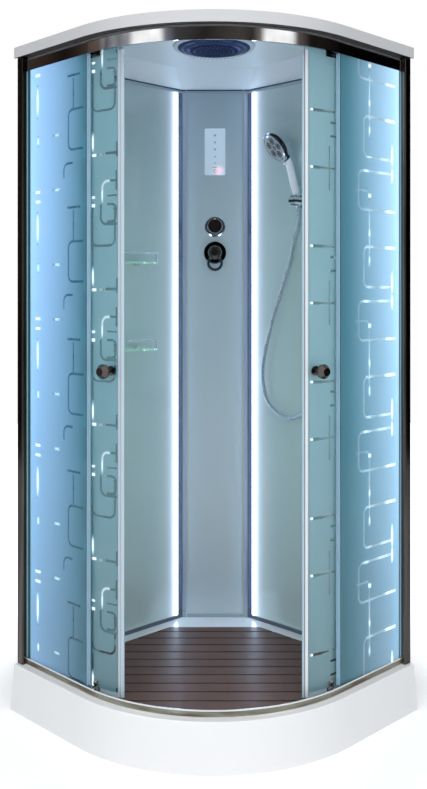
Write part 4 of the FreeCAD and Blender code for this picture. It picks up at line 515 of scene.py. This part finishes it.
DOORS = {
    "left": {
        "base": 1420, "pitch": 391.5, "frost": (0.40, 0.64, 0.70), "clear": (0.42, 0.58, 0.62), "haze": 0.03,
        "bars": [
            (112, 119, 1712, 1772, 0.9), (112, 118, 1775, 1811.4, 0), (112, 118, 1420, 1560, 0),
            (98, 122, 1701, 1709, 0.8), (70, 98, 1701, 1709, 0.15), (24, 66, 1703, 1711, 0),
            (22, 28, 1696, 1739, 0), (23, 29, 1600, 1656, 0), (24, 60, 1624, 1631, 0),
            (75, 81, 1560, 1615, 0.6), (104, 122, 1579, 1586, 0.7), (104, 122, 1554, 1563, 0.8),
            (24, 60, 1582, 1587, 0),
        ],
        "rings": [
            (31, 117, 1441, 1559, 20, 7, 20, 122, 1436, 1550, 0),
            (0, 83, 1503, 1640, 20, 8, 24, 90, 1498, 1560, 0),
            (0, 78, 1480, 1627, 20, 7, 50, 84, 1600, 1632, 0.35),
            (28, 200, 1510, 1560, 14, 7, 22, 60, 1500, 1566, 0),
        ],
    },
    "right": {
        "base": 1420, "pitch": 391.5, "frost": (0.50, 0.73, 0.78), "clear": (0.50, 0.64, 0.65), "haze": 0.03,
        "bars": [
            (27, 36, 1662, 1672, 0.8), (36, 60, 1662, 1671, 0), (60, 118, 1663, 1670, 0.05),
            (27, 36, 1435, 1445, 0.8), (36, 70, 1435, 1444, 0), (70, 118, 1436, 1443, 0.05),
            (122, 127, 1440, 1500, 0), (94, 99, 1602, 1732, 0.04),
        ],
        "rings": [(30, 150, 1760, 1800, 16, 7, 100, 156, 1755, 1806, 0)],
    },
}


def dress(name, material):
    """Gives a CAD node its material."""
    mesh = NODES[name].data
    mesh.materials.clear()
    mesh.materials.append(material)


def turned_about(point, pole, angle):
    """Point turned about an upright pole."""
    off = point - pole
    c, s = math.cos(angle), math.sin(angle)
    return pole + Vector((off.x * c - off.y * s, off.x * s + off.y * c, 0))


def pane_along(side):
    """Metres along a fixed pane from its free edge, as nodes."""
    if side == "right":
        return lambda n, p: n.minus(p[1], BEND.y)
    return lambda n, p: n.minus(n.times(p[0], -1.0), BEND.y)


def door_along(side):
    """Metres round a curved door from its leading edge, there and back over the motif's width, as nodes."""
    centre = turned_about(BEND, DOOR_POLE, DOOR_TURN)
    lead = DOOR_TURN - math.pi / 4

    def along(n, p):
        x, y = p[0], p[1]
        if side == "left":
            x, y = n.times(p[1], -1.0), n.times(p[0], -1.0)
        angle = n.math("ARCTAN2", n.minus(y, centre.y), n.minus(x, centre.x))
        return n.math("PINGPONG", n.times(n.minus(angle, lead), DOOR_OUT), DOOR_MOTIF)

    return along


def make_touch_panel():
    """Pale glass plate with a column of small teal lamps, a dash, a ring and a red lamp beside it."""
    lamps = ((1878.5, 3.4), (1853.3, 2.9), (1827.7, 3.0), (1801.1, 2.3), (1777.7, 2.0))
    dash = (-9, 9, 1760, 1763)
    ring_height, ring_radius = 1749.6, 5.0
    red_side, red_height, red_reach = 14, 1750, 13.0
    n = Nodes("touch_panel")
    at = n.place()
    x, y, z = n.split(at)
    u = n.diagonal(x, y)

    def spot(side, height, radius):
        """Distance from a place on the plate, in shares of a radius."""
        away = n.length(n.minus(u, side * MM), n.minus(z, height * MM))
        return n.math("DIVIDE", away, radius * MM)

    color = n.blend(n.noise(at, 14.0), (0.76, 0.86, 0.96), (0.84, 0.91, 0.98))
    for height, radius in lamps:
        color = n.blend(n.span(spot(0, height, radius), 1.3, 0.7), color, (0.02, 0.17, 0.19))
        halo = n.span(spot(0, height, radius * 2.4), 1.0, 0.5, 0.0, 0.3)
        color = n.blend(halo, color, (0.15, 0.62, 0.58))
    color = n.blend(bar_mask(n, u, z, dash), color, (0.18, 0.16, 0.22))
    off_ring = n.math("ABSOLUTE", n.minus(spot(0, ring_height, ring_radius), 1.0))
    color = n.blend(n.span(off_ring, 0.35, 0.15), color, (0.20, 0.08, 0.14))
    lamp = n.math("POWER", spot(red_side, red_height, red_reach), 2.0)
    lamp = n.math("EXPONENT", n.times(lamp, -1.0))
    shader = n.principled(Coat_Weight=0.8, Coat_Roughness=0.04, Roughness=0.25)
    n.put(shader, "Base Color", color)
    n.put(shader, "Emission Color", n.blend(lamp, (0.72, 0.86, 1.0), (1.0, 0.16, 0.24)))
    n.put(shader, "Emission Strength", n.span(lamp, 0.0, 1.0, 0.15, 1.1))
    return n.finish(shader.outputs[0])


def make_control_black():
    """Black gloss with a light ring round each control's brown-black middle, and a mark on the diverter."""
    mark = (-3.5, 3.5, 1571, 1579)
    n = Nodes("control_black")
    at = n.place()
    x, y, z = n.split(at)
    u = n.diagonal(x, y)
    color = n.blend(n.noise(at, 180.0), (0.010, 0.009, 0.009), (0.018, 0.016, 0.016))
    for height, ring in ((DIVERTER_HEIGHT, 26.0), (MIXER_HEIGHT, 27.0)):
        reach = n.math("DIVIDE", n.length(u, n.minus(z, height)), MM)
        color = n.blend(n.below(reach, ring), color, (0.026, 0.015, 0.012))
        off_ring = n.math("ABSOLUTE", n.minus(reach, ring))
        color = n.blend(n.span(off_ring, 1.4, 0.7, 0.0, 0.85), color, (0.30, 0.36, 0.37))
    color = n.blend(bar_mask(n, u, z, mark), color, (0.75, 0.78, 0.80))
    shader = n.principled(Roughness=0.22, Coat_Weight=0.6, Coat_Roughness=0.05)
    n.put(shader, "Base Color", color)
    return n.finish(shader.outputs[0])


def make_roses():
    """Chrome rose above, black one below."""
    n = Nodes("rose_finish")
    at = n.place()
    fine = n.noise(at, 240.0)
    upper = n.above(n.split(at)[2], BETWEEN_ROSES)
    shader = n.principled(Metallic=1.0)
    n.put(shader, "Base Color", n.blend(upper, (0.025, 0.023, 0.022), (0.82, 0.83, 0.84)))
    n.put(shader, "Roughness", n.span(fine, 0.3, 0.7, 0.05, 0.08))
    return n.finish(shader.outputs[0])


def make_overhead(ring_pitch=0.019):
    """Dark navy rose with painted blue glints in rings among its nozzles, stronger at the sides, and a faint
    painted glow on its outer ring.
    """
    disc_edge, ring_edge = 0.072, 0.080
    n = Nodes("overhead_navy")
    at = n.place()
    x, y = n.split(at)[:2]
    off_x = n.minus(x, OVERHEAD.x)
    off_y = n.minus(y, OVERHEAD.y)
    radius = n.length(off_x, off_y)
    waves = n.math("SINE", n.times(radius, 2 * math.pi / ring_pitch))
    patch = n.noise(at, 26.0)
    rings = n.times(n.span(waves, 0.0, 1.0), n.span(patch, 0.38, 0.62, 0.1, 1.0))
    # Painted glints: the blue light in the rings is stronger towards the left and right.
    side = n.math("ABSOLUTE", n.plus(off_x, off_y))
    painted_glint = n.times(rings, n.span(side, 0.02, 0.12, 0.15, 1.0))
    # Painted glow: a faint light on the outer ring.
    outer = n.span(radius, disc_edge, ring_edge, 0.01, 0.05)
    shader = n.principled(Roughness=0.4, IOR=1.05)
    n.put(shader, "Base Color", n.blend(patch, (0.004, 0.010, 0.034), (0.009, 0.021, 0.066)))
    n.put(shader, "Emission Color", (0.26, 0.40, 0.95))
    n.put(shader, "Emission Strength", n.plus(n.times(painted_glint, 0.25), outer))
    return n.finish(shader.outputs[0])


def make_door_edge(side):
    """Satin edge profile with a grey-blue channel between two white lips."""
    n = Nodes(f"door_edge_{side}")
    at = n.place()
    across = door_along(side)(n, n.split(at))
    fine = n.noise(at, 30.0)
    lip, channel = (0.006, 0.014) if side == "left" else (0.003, 0.007)
    dark = (0.38, 0.44, 0.52) if side == "left" else (0.20, 0.23, 0.27)
    pale = n.blend(fine, (0.76, 0.78, 0.80), (0.80, 0.81, 0.83))
    shader = n.principled(Metallic=0.1)
    n.put(shader, "Base Color", n.blend(n.band(across, lip, channel, soft=0.0005), pale, dark))
    n.put(shader, "Roughness", n.span(fine, 0.3, 0.7, 0.28, 0.36))
    return n.finish(shader.outputs[0])


def make_shelf_glass():
    """Clear green glass with a faint painted glow in its body."""
    n = Nodes("shelf_glass")
    fine = n.noise(n.place(), 30.0)
    # Painted light: a faint green glow given off by the glass.
    shader = n.principled(IOR=1.5, Emission_Color=(0.60, 0.95, 0.86, 1.0), Emission_Strength=0.08)
    n.put(shader, "Transmission Weight", 1.0)
    n.put(shader, "Base Color", n.blend(fine, (0.60, 0.88, 0.80), (0.66, 0.92, 0.84)))
    n.put(shader, "Roughness", n.span(fine, 0.3, 0.7, 0.02, 0.05))
    return n.finish(shader.outputs[0])


def make_trims():
    """Satin wall trims, paler beside the corner panel, with a painted shadow line along the head under the
    roof.
    """
    sill_top, head_low, shadow_gap_from = 0.155, 2.033, 2.0405
    fold = (0.121, 0.116)
    n = Nodes("wall_trim_satin")
    at = n.place()
    x, y, z = n.split(at)
    inner = n.span(n.math("ABSOLUTE", n.diagonal(x, y)), *fold)
    fine = n.noise(at, 300.0)
    upright = n.blend(inner, (0.16, 0.18, 0.24), (0.46, 0.52, 0.64))
    sill = n.blend(inner, (0.11, 0.13, 0.16), (0.45, 0.52, 0.56))
    color = n.blend(n.below(z, sill_top), upright, sill)
    color = n.blend(n.above(z, head_low), color, (0.36, 0.46, 0.52))
    # Painted shadow: the gap under the roof is painted near-black along the head.
    color = n.blend(n.above(z, shadow_gap_from), color, (0.06, 0.08, 0.13))
    shader = n.principled(Metallic=0.25)
    n.put(shader, "Base Color", color)
    n.put(shader, "Roughness", n.span(fine, 0.3, 0.7, 0.26, 0.38))
    return n.finish(shader.outputs[0])


def make_sill():
    """Bottom rail: chrome with a painted olive reflection band between painted highlights at its top edge
    and foot, with soft streaks.
    """
    top_highlight = (0.1572, 0.1586)
    foot_highlight = (0.1436, 0.1424)
    n = Nodes("sill_chrome")
    at = n.place()
    z = n.split(at)[2]
    streaks = n.noise(n.vector("MULTIPLY", at, (9.0, 9.0, 60.0)).outputs[0], 1.0, 3.0)
    # Painted reflection: the olive band stands in for what the chrome mirrors.
    band = n.blend(n.span(streaks, 0.35, 0.65), (0.17, 0.145, 0.105), (0.36, 0.36, 0.30))
    # Painted highlights: light lines at the top edge and the foot.
    edges = n.math("MAXIMUM", n.span(z, *top_highlight), n.span(z, *foot_highlight))
    shader = n.principled(Metallic=0.85)
    n.put(shader, "Base Color", n.blend(edges, band, (0.90, 0.91, 0.90)))
    n.put(shader, "Roughness", n.span(streaks, 0.3, 0.7, 0.18, 0.3))
    return n.finish(shader.outputs[0])


def make_spray_face():
    """Grey face inside a chrome rim whose upper side is painted black as a dark reflection."""
    rim_edge = (0.0425, 0.0435)
    dark_reflection_edge = (0.008, 0.014)
    face = (0.36, 0.38, 0.39)
    n = Nodes("spray_face")
    at = n.place()
    off = n.vector("SUBTRACT", at, tuple(handset_places()["head"])).outputs[0]
    rim = n.span(n.vector("LENGTH", off).outputs["Value"], *rim_edge)
    upper = n.span(n.vector("DOT_PRODUCT", off, DARK_REFLECTION_SIDE).outputs["Value"], *dark_reflection_edge)
    grey = n.blend(n.noise(at, 200.0), tuple(c * 0.94 for c in face), face)
    # Painted reflection: the upper side of the chrome rim is painted black.
    chrome = n.blend(upper, (0.72, 0.74, 0.76), (0.012, 0.012, 0.014))
    shader = n.principled(Coat_Weight=0.3, Coat_Roughness=0.05)
    n.put(shader, "Base Color", n.blend(rim, grey, chrome))
    n.put(shader, "Metallic", n.times(rim, 0.8))
    n.put(shader, "Roughness", n.span(rim, 0.0, 1.0, 0.3, 0.12))
    return n.finish(shader.outputs[0])


def make_pane_seal():
    """Teal strip with a dark line where it meets the fixed pane."""
    line_from, line_to = 0.1115, 0.2
    n = Nodes("pane_seal")
    at = n.place()
    x, y = n.split(at)[:2]
    along = n.math("MAXIMUM", y, n.times(x, -1.0))
    color = n.blend(n.noise(at, 30.0), (0.26, 0.42, 0.52), (0.32, 0.48, 0.58))
    line = n.times(n.above(along, line_from), n.below(along, line_to))
    shader = n.principled(Roughness=0.25, Coat_Weight=0.4)
    n.put(shader, "Base Color", n.blend(line, color, (0.05, 0.10, 0.15)))
    return n.finish(shader.outputs[0])


def make_handset_shell():
    """White handle running into a chrome head whose rim is painted black on its upper side as a dark
    reflection.
    """
    head_edge = (0.061, 0.059)
    dark_reflection_edge = (0.004, 0.010)
    n = Nodes("handset_shell")
    at = n.place()
    off = n.vector("SUBTRACT", at, tuple(handset_places()["head"])).outputs[0]
    rim = n.span(n.vector("LENGTH", off).outputs["Value"], *head_edge)
    upper = n.span(n.vector("DOT_PRODUCT", off, DARK_REFLECTION_SIDE).outputs["Value"], *dark_reflection_edge)
    white = n.blend(n.noise(at, 90.0), (0.92, 0.93, 0.94), (0.95, 0.96, 0.97))
    # Painted reflection: the upper side of the chrome rim is painted black.
    chrome = n.blend(upper, (0.72, 0.74, 0.76), (0.012, 0.012, 0.015))
    shader = n.principled(Coat_Weight=0.5, Coat_Roughness=0.05)
    n.put(shader, "Base Color", n.blend(rim, white, chrome))
    n.put(shader, "Metallic", rim)
    n.put(shader, "Roughness", n.span(rim, 0.0, 1.0, 0.2, 0.08))
    return n.finish(shader.outputs[0])


def make_banded_chrome():
    """Chrome with painted dark reflection bands up the holder's barrel, as (from, to height, shade)."""
    bands = ((1.6330, 1.6600, 0.05), (1.6150, 1.6235, 0.06), (1.5700, 1.6075, 0.10))
    n = Nodes("holder_chrome")
    at = n.place()
    z = n.split(at)[2]
    fine = n.noise(at, 200.0)
    color = n.blend(fine, (0.90, 0.92, 0.94), (0.95, 0.96, 0.97))
    # Painted reflections: dark bands across the chrome barrel.
    for low, high, shade in bands:
        dark = (shade, shade * 1.1, shade * 1.3)
        color = n.blend(n.band(z, low, high, soft=0.001), color, dark)
    shader = n.principled(Metallic=0.9)
    n.put(shader, "Base Color", color)
    n.put(shader, "Roughness", n.span(fine, 0.3, 0.7, 0.08, 0.14))
    return n.finish(shader.outputs[0])


def dress_each(names, material):
    for name in names:
        dress(name, material)


def dress_shell():
    """Tray, roof, rails, posts and overhead shower."""
    dress_each(("shower_tray", "front_apron", "overhead_housing"), make_acrylic())
    bezel = plain("bezel_matte", (0.62, 0.66, 0.70), 0.6, spread=0.02, Specular_IOR_Level=0.2)
    dress("overhead_bezel", bezel)
    dress("overhead_rose", make_overhead())
    dress("roof_shell", make_roof())
    dress("top_rail", make_chrome("rail_chrome", (0.93, 0.93, 0.94)))
    dress("bottom_rail", make_sill())
    dress("wall_posts", make_post_metal())
    dress("deck_slats", make_deck())


def dress_walls():
    """Wall glasses, corner panel and what is fixed on them."""
    dress("left_wall_panel", make_wall_glass("wall_glass_left", axis=1, sign=-1, halo=0.31))
    dress("right_wall_panel", make_wall_glass("wall_glass_right", axis=0, sign=1, halo=0.42))
    dress("corner_panel", make_corner_panel())
    dress("wall_trims", make_trims())
    dress("wall_light_strips", make_light_strip())
    dress("control_panel", make_touch_panel())
    dress("control_roses", make_roses())
    dress("shelf_glasses", make_shelf_glass())
    dress_each(("mixer_lever", "diverter_knob"), make_control_black())


def dress_sheets(grey):
    """Fixed panes, doors and what the doors carry."""
    seal = plain("clear_seal", (0.44, 0.58, 0.66), 0.20, grain=20.0, bump=0.01, Coat_Weight=0.5)
    bronze = make_chrome("knob_bronze", (0.13, 0.11, 0.105), 0.12)
    smoke = make_chrome("chrome_dark", (0.36, 0.35, 0.34), 0.08)
    dress("pane_seals", make_pane_seal())
    for side in ("left", "right"):
        dress(f"fixed_pane_{side}", make_frosted(f"frosted_pane_{side}", pane_along(side), PANES[side]))
        dress(f"door_glass_{side}", make_frosted(f"frosted_door_{side}", door_along(side), DOORS[side]))
        dress(f"door_edge_profile_{side}", make_door_edge(side))
        dress(f"door_seals_{side}", seal)
        dress(f"door_knob_{side}", bronze)
        dress(f"door_hangers_{side}", smoke)
        for which in ("top_wheel_lead", "low_wheel_lead", "top_wheel_tail", "low_wheel_tail"):
            dress(f"{which}_{side}", grey)


def dress_handset():
    """Hand shower, its holder and the small chrome fittings."""
    chrome = make_chrome()
    dress_each(("mixer_spindle", "outlet_elbow", "shelf_fittings"), chrome)
    dress_each(("hose_nut_lower", "hose_nut_upper"), chrome)
    dress_each(("handset_cradle", "handset_wall_base"), make_banded_chrome())
    dress_each(("handset_body", "spray_selector"), make_handset_shell())
    dress("spray_face", make_spray_face())


def dress_works(grey, rubber):
    """What stands behind the walls and under the tray."""
    stainless = make_brushed("stainless", (0.62, 0.62, 0.63), 0.28, across=(0.1, 1, 1))
    brass = plain("brass", (0.62, 0.47, 0.22), 0.32, spread=0.1, grain=120.0, bump=0.05, metallic=1.0)
    paint = plain("frame_paint", (0.38, 0.40, 0.42), 0.45, spread=0.08, grain=120.0, bump=0.08)
    zinc = plain("zinc_steel", (0.55, 0.56, 0.57), 0.38, spread=0.12, grain=90.0, metallic=1.0)
    dress_each(("feed_pipes", "drain_grate"), stainless)
    dress_each(("power_unit", "drain_trap"), grey)
    dress("mixer_valve", brass)
    dress("tray_frame", paint)
    dress("levelling_feet", zinc)
    dress("deck_bearers", rubber)


# Fine pieces
def handset_places():
    """Places and directions of the hand shower, from the holder's lean and the handset's twist."""
    lean_along, lean_off = math.radians(7.5), math.radians(6)
    twist, face_tilt = math.radians(19), math.radians(116)
    holder_side, holder_out, holder_height = -0.003, 0.030, 1.621
    head_forward, head_up = 0.052, 0.190
    axis = Vector((-math.tan(lean_along), -math.tan(lean_off), 1)).normalized()
    socket = Vector((holder_side, WALL_FACE - holder_out, holder_height))
    across = axis.cross(Vector((0, -1, 0))).normalized()
    forward = across.cross(axis)
    ahead = forward * math.cos(twist) - across * math.sin(twist)
    return {
        "axis": axis,
        "socket": socket,
        "head": socket + ahead * head_forward + axis * head_up,
        "side": across * math.cos(twist) + forward * math.sin(twist),
        "up": axis * math.sin(face_tilt) - ahead * math.cos(face_tilt),
        "out": ahead * math.sin(face_tilt) + axis * math.cos(face_tilt),
    }


def add_object(name, data):
    """Puts an object with this data into the scene."""
    item = bpy.data.objects.new(name, data)
    SCENE.collection.objects.link(item)
    return item


def add_mesh(name, points, faces, material):
    """Puts a mesh of these points and faces into the scene."""
    mesh = bpy.data.meshes.new(name)
    mesh.from_pydata(points, [], faces)
    mesh.materials.append(material)
    return add_object(name, mesh)


def add_studs(name, spots, out, material, body, radius, height):
    """Small tapered nozzles standing on a face, as one mesh."""
    sides, sunk, taper = 8, 0.0005, 0.7
    out = out.normalized()
    first = out.orthogonal().normalized()
    second = out.cross(first)
    points, faces = [], []
    for spot in spots:
        start = len(points)
        for lift, share in ((-sunk, 1.0), (height, taper)):
            for k in range(sides):
                turn = 2 * math.pi * k / sides
                arm = (first * math.cos(turn) + second * math.sin(turn)) * radius * share
                points.append(tuple(spot + out * lift + arm))
        for k in range(sides):
            after = (k + 1) % sides
            faces.append((start + k, start + after, start + sides + after, start + sides + k))
        faces.append(tuple(start + sides + k for k in range(sides)))
    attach(add_mesh(name, points, faces, material), body)


def overhead_spots():
    """Nozzles of the overhead rose: four circles on its disc and two on its outer ring."""
    disc, outer = 2063, 2067
    rings = ((14, 8, disc), (32, 16, disc), (50, 24, disc), (66, 32, disc),
             (88, 40, outer), (102, 48, outer))
    turn_on = 30
    spots = []
    for radius, count, height in rings:
        for k in range(count):
            turn = 2 * math.pi * (k + radius / turn_on) / count
            spots.append(OVERHEAD + Vector((math.cos(turn) * radius, math.sin(turn) * radius, height)) * MM)
    return spots


def handset_spots(hand):
    """Nozzles of the hand shower: five petals of rings round a middle group of six."""
    petals, petal_out, middle, middle_out = 5, 26, 6, 0.006
    rings = ((0, 1), (5.4, 5), (10.4, 9))
    face_lift = 0.004
    base = hand["head"] + hand["out"] * face_lift
    spots = []
    for petal in range(petals):
        turn = 2 * math.pi * petal / petals
        for ring, count in rings:
            for k in range(count):
                around = 2 * math.pi * k / count
                a = math.cos(turn) * petal_out + math.cos(around) * ring
                b = math.sin(turn) * petal_out + math.sin(around) * ring
                spots.append(base + (hand["side"] * a + hand["up"] * b) * MM)
    for k in range(middle):
        around = 2 * math.pi * k / middle
        arm = hand["side"] * math.cos(around) + hand["up"] * math.sin(around)
        spots.append(base + arm * middle_out)
    return spots


def add_nozzles(overhead, handset):
    """Nozzles of both shower heads, in their two materials."""
    down = Vector((0, 0, -1))
    hand = handset_places()
    add_studs("overhead_nozzles", overhead_spots(), down, overhead, "cabin", radius=0.0019, height=0.0009)
    add_studs("handset_nozzles", handset_spots(hand), hand["out"], handset, "handset",
              radius=0.0029, height=0.0012)


def make_hose_metal(ribs_along=420):
    """Ribbed chrome, with the ribs across the hose's run and darker grooves painted as shade."""
    n = Nodes("hose_chrome")
    run = n.split(n.add("ShaderNodeTexCoord").outputs["UV"])[0]
    ribs = n.math("SINE", n.times(run, 2 * math.pi * ribs_along))
    fine = n.noise(n.place(), 200.0)
    shader = n.principled(Metallic=1.0)
    # Painted shade: the grooves between the ribs are painted darker.
    n.put(shader, "Base Color", n.blend(n.span(ribs, -0.6, 0.6), (0.42, 0.45, 0.48), (0.88, 0.90, 0.92)))
    n.put(shader, "Roughness", n.span(fine, 0.3, 0.7, 0.25, 0.35))
    n.put(shader, "Normal", n.bump(ribs, 0.4, 0.0005))
    return n.finish(shader.outputs[0])


def add_hose():
    """Chrome hose on the route of the CAD tube, from the wall outlet round to the holder."""
    outlet_side, outlet_out, outlet_height = 0.150, 0.034, 1.3734
    below_holder, into_holder = 0.058, 0.022
    hand = handset_places()
    start = Vector((outlet_side, WALL_FACE - outlet_out, outlet_height))
    route = [
        (150, 401, 1338), (149, 403, 1270), (143, 409, 1180), (130, 415, 1095), (107, 419, 1015),
        (73, 419, 940), (10, 419, 886), (-60, 420, 861), (-120, 420, 882), (-163, 420, 925),
        (-182, 420, 1001), (-173, 420, 1079), (-135, 420, 1204), (-95, 420, 1304), (-52, 418, 1402),
        (-27, 414, 1489),
    ]
    points = [start] + [Vector(p) * MM for p in route]
    for step in (-below_holder, into_holder):
        points.append(hand["socket"] + hand["axis"] * step)
    curve = bpy.data.curves.new("hose_line", "CURVE")
    curve.dimensions = "3D"
    curve.bevel_depth = 0.0065
    curve.bevel_resolution = 6
    curve.resolution_u = 24
    curve.materials.append(make_hose_metal())
    spline = curve.splines.new("NURBS")
    spline.points.add(len(points) - 1)
    for spot, point in zip(spline.points, points):
        spot.co = (*point, 1)
    spline.order_u = 3
    spline.use_endpoint_u = True
    hose = add_object("shower_hose_chrome", curve)
    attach(hose, "cabin")
    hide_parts("shower_hose")


# Camera, lights and floor
def look_towards(item, direction):
    """Turns a camera or a light to look in a direction."""
    item.rotation_mode = "QUATERNION"
    item.rotation_quaternion = direction.to_track_quat("-Z", "Y")


def add_camera():
    camera = bpy.data.cameras.new("camera")
    camera.sensor_width = 36
    camera.lens = 43.13
    camera.shift_x = -0.0099
    camera.shift_y = -0.128
    camera.clip_start = 0.05
    camera.clip_end = 60
    holder = add_object("camera", camera)
    holder.location = (2.1091, -2.0766, 1.3027)
    look_towards(holder, -OUTWARD)
    SCENE.camera = holder


def add_area(name, place, target, size, power):
    """Rectangular lamp that polished surfaces don't mirror."""
    light = bpy.data.lights.new(name, "AREA")
    light.shape = "RECTANGLE"
    light.size, light.size_y = size
    light.energy = power
    holder = add_object(name, light)
    holder.visible_glossy = False
    holder.location = place
    look_towards(holder, Vector(target) - Vector(place))


def add_world():
    """Soft pale light all round, on white where the camera, a reflection or a look through glass sees it."""
    world = bpy.data.worlds.new("studio")
    SCENE.world = world
    world.use_nodes = True
    tree = world.node_tree
    tree.nodes.clear()
    out = tree.nodes.new("ShaderNodeOutputWorld")
    path = tree.nodes.new("ShaderNodeLightPath")
    seen = path.outputs["Is Camera Ray"]
    for name in ("Is Glossy Ray", "Is Transmission Ray"):
        both = tree.nodes.new("ShaderNodeMath")
        both.operation = "MAXIMUM"
        tree.links.new(seen, both.inputs[0])
        tree.links.new(path.outputs[name], both.inputs[1])
        seen = both.outputs[0]
    lights = []
    for color, strength in (((0.88, 0.93, 1.0, 1), 0.55), ((1, 1, 1, 1), 1.0)):
        light = tree.nodes.new("ShaderNodeBackground")
        light.inputs["Color"].default_value = color
        light.inputs["Strength"].default_value = strength
        lights.append(light)
    mix = tree.nodes.new("ShaderNodeMixShader")
    tree.links.new(seen, mix.inputs[0])
    tree.links.new(lights[0].outputs[0], mix.inputs[1])
    tree.links.new(lights[1].outputs[0], mix.inputs[2])
    tree.links.new(mix.outputs[0], out.inputs["Surface"])


def add_floor():
    """White floor that fades to the white background and keeps the shadow under the cabin."""
    fade_from, fade_to, reach = 0.70, 1.2, 6.0
    n = Nodes("floor_white")
    lit = n.principled(Roughness=0.6)
    n.put(lit, "Base Color", (0.86, 0.86, 0.86))
    seen = n.add("ShaderNodeLightPath").outputs["Is Camera Ray"]
    lift = n.add("ShaderNodeEmission", Color=(1, 1, 1))
    away = n.vector("LENGTH", n.vector("MULTIPLY", n.place(), (1, 1, 0)).outputs[0]).outputs["Value"]
    n.put(lift, "Strength", n.times(seen, n.span(away, fade_from, fade_to, 0.20, 1.0)))
    n.finish(n.both(lit.outputs[0], lift.outputs[0]))
    points = [(-reach, -reach, 0), (reach, -reach, 0), (reach, reach, 0), (-reach, reach, 0)]
    add_mesh("floor", points, [(0, 1, 2, 3)], n.material)


# What polished metal sees round the studio: degrees from the way the cabin faces, and the colour there
WHITE = (1.0, 1.0, 1.0)
SURROUND = (
    (-122, WHITE), (-116, (0.05, 0.035, 0.028)), (-99, (0.040, 0.027, 0.021)),
    (-97.5, (0.004, 0.004, 0.004)), (-96, (0.004, 0.004, 0.004)), (-95, (0.065, 0.045, 0.035)),
    (-84, (0.100, 0.076, 0.062)), (-80, (0.21, 0.21, 0.23)), (-77, (0.09, 0.09, 0.09)),
    (-71, (0.25, 0.25, 0.28)), (-66, (0.16, 0.16, 0.18)), (-59, (0.30, 0.30, 0.33)),
    (-54, WHITE), (-36, WHITE), (-32, (0.18, 0.19, 0.23)), (-25, (0.045, 0.045, 0.048)),
    (-6, (0.020, 0.018, 0.016)), (16, (0.055, 0.046, 0.040)), (26, (0.028, 0.024, 0.022)),
    (31, (0.16, 0.14, 0.13)), (35, WHITE), (53, WHITE), (58, (0.09, 0.08, 0.075)),
    (62, (0.07, 0.06, 0.055)), (68, (0.010, 0.008, 0.007)), (80, (0.010, 0.008, 0.007)),
    (94, (0.002, 0.002, 0.002)), (96, (0.001, 0.001, 0.001)), (114, (0.001, 0.001, 0.001)),
    (120, WHITE),
)


def make_surround():
    """Light of the studio cards round the cabin, with faint streaks."""
    n = Nodes("surround")
    x, y, z = n.split(n.place())
    turn = n.math("DIVIDE", n.math("ARCTAN2", n.plus(x, y), n.minus(x, y)), 2 * math.pi)
    ramp = n.add("ShaderNodeValToRGB", Fac=n.plus(turn, 0.5))
    stops = ramp.color_ramp.elements
    for stop, (degrees, color) in zip((stops[0], stops[-1]), (SURROUND[0], SURROUND[-1])):
        stop.position = degrees / 360 + 0.5
        stop.color = (*color, 1)
    for degrees, color in SURROUND[1:-1]:
        stops.new(degrees / 360 + 0.5).color = (*color, 1)
    streaks = n.noise(n.join(n.times(turn, 30.0), 0.0, n.times(z, 14.0)), 1.0, 3.0)
    glow = n.add("ShaderNodeEmission", Color=ramp.outputs[0])
    n.put(glow, "Strength", n.span(streaks, 0.35, 0.65, 0.75, 1.2))
    return n.finish(glow.outputs[0])


def add_surround():
    """Ring of dark and white studio cards that only reflections see."""
    count, reach, low, top = 96, 5.0, 0.01, 5.0
    turns = [2 * math.pi * k / count for k in range(count)]
    ring = [(reach * math.cos(turn), reach * math.sin(turn)) for turn in turns]
    points = [(*spot, z) for z in (low, top) for spot in ring]
    faces = [(k, (k + 1) % count, count + (k + 1) % count, count + k) for k in range(count)]
    card = add_mesh("surround", points, faces, make_surround())
    card.visible_camera = False
    card.visible_diffuse = False
    card.visible_transmission = False
    card.visible_shadow = False


SCENE.view_settings.view_transform = "Standard"
add_camera()
add_world()
add_floor()
add_surround()
aim = (0, 0, 1.0)
add_area("key_light", (1.0, -3.2, 1.1), aim, size=(1.6, 1.6), power=24.5)
add_area("fill_light", (3.2, -1.0, 1.0), aim, size=(1.6, 2.0), power=20)
add_area("top_light", (0.95, -0.95, 4.4), (0.25, -0.25, 0), size=(2.0, 2.0), power=78)

grey_plastic = plain("grey_plastic", (0.24, 0.25, 0.26), 0.45, spread=0.06, grain=300.0, bump=0.05)
black_rubber = plain("black_rubber", (0.02, 0.02, 0.02), 0.55, spread=0.1, grain=300.0, bump=0.05)
nozzle_blue = plain("nozzle_blue", (0.03, 0.04, 0.10), 0.4, spread=0.2, grain=300.0)
dress_shell()
dress_walls()
dress_sheets(grey_plastic)
dress_handset()
dress_works(grey_plastic, black_rubber)
add_nozzles(nozzle_blue, black_rubber)
add_hose()
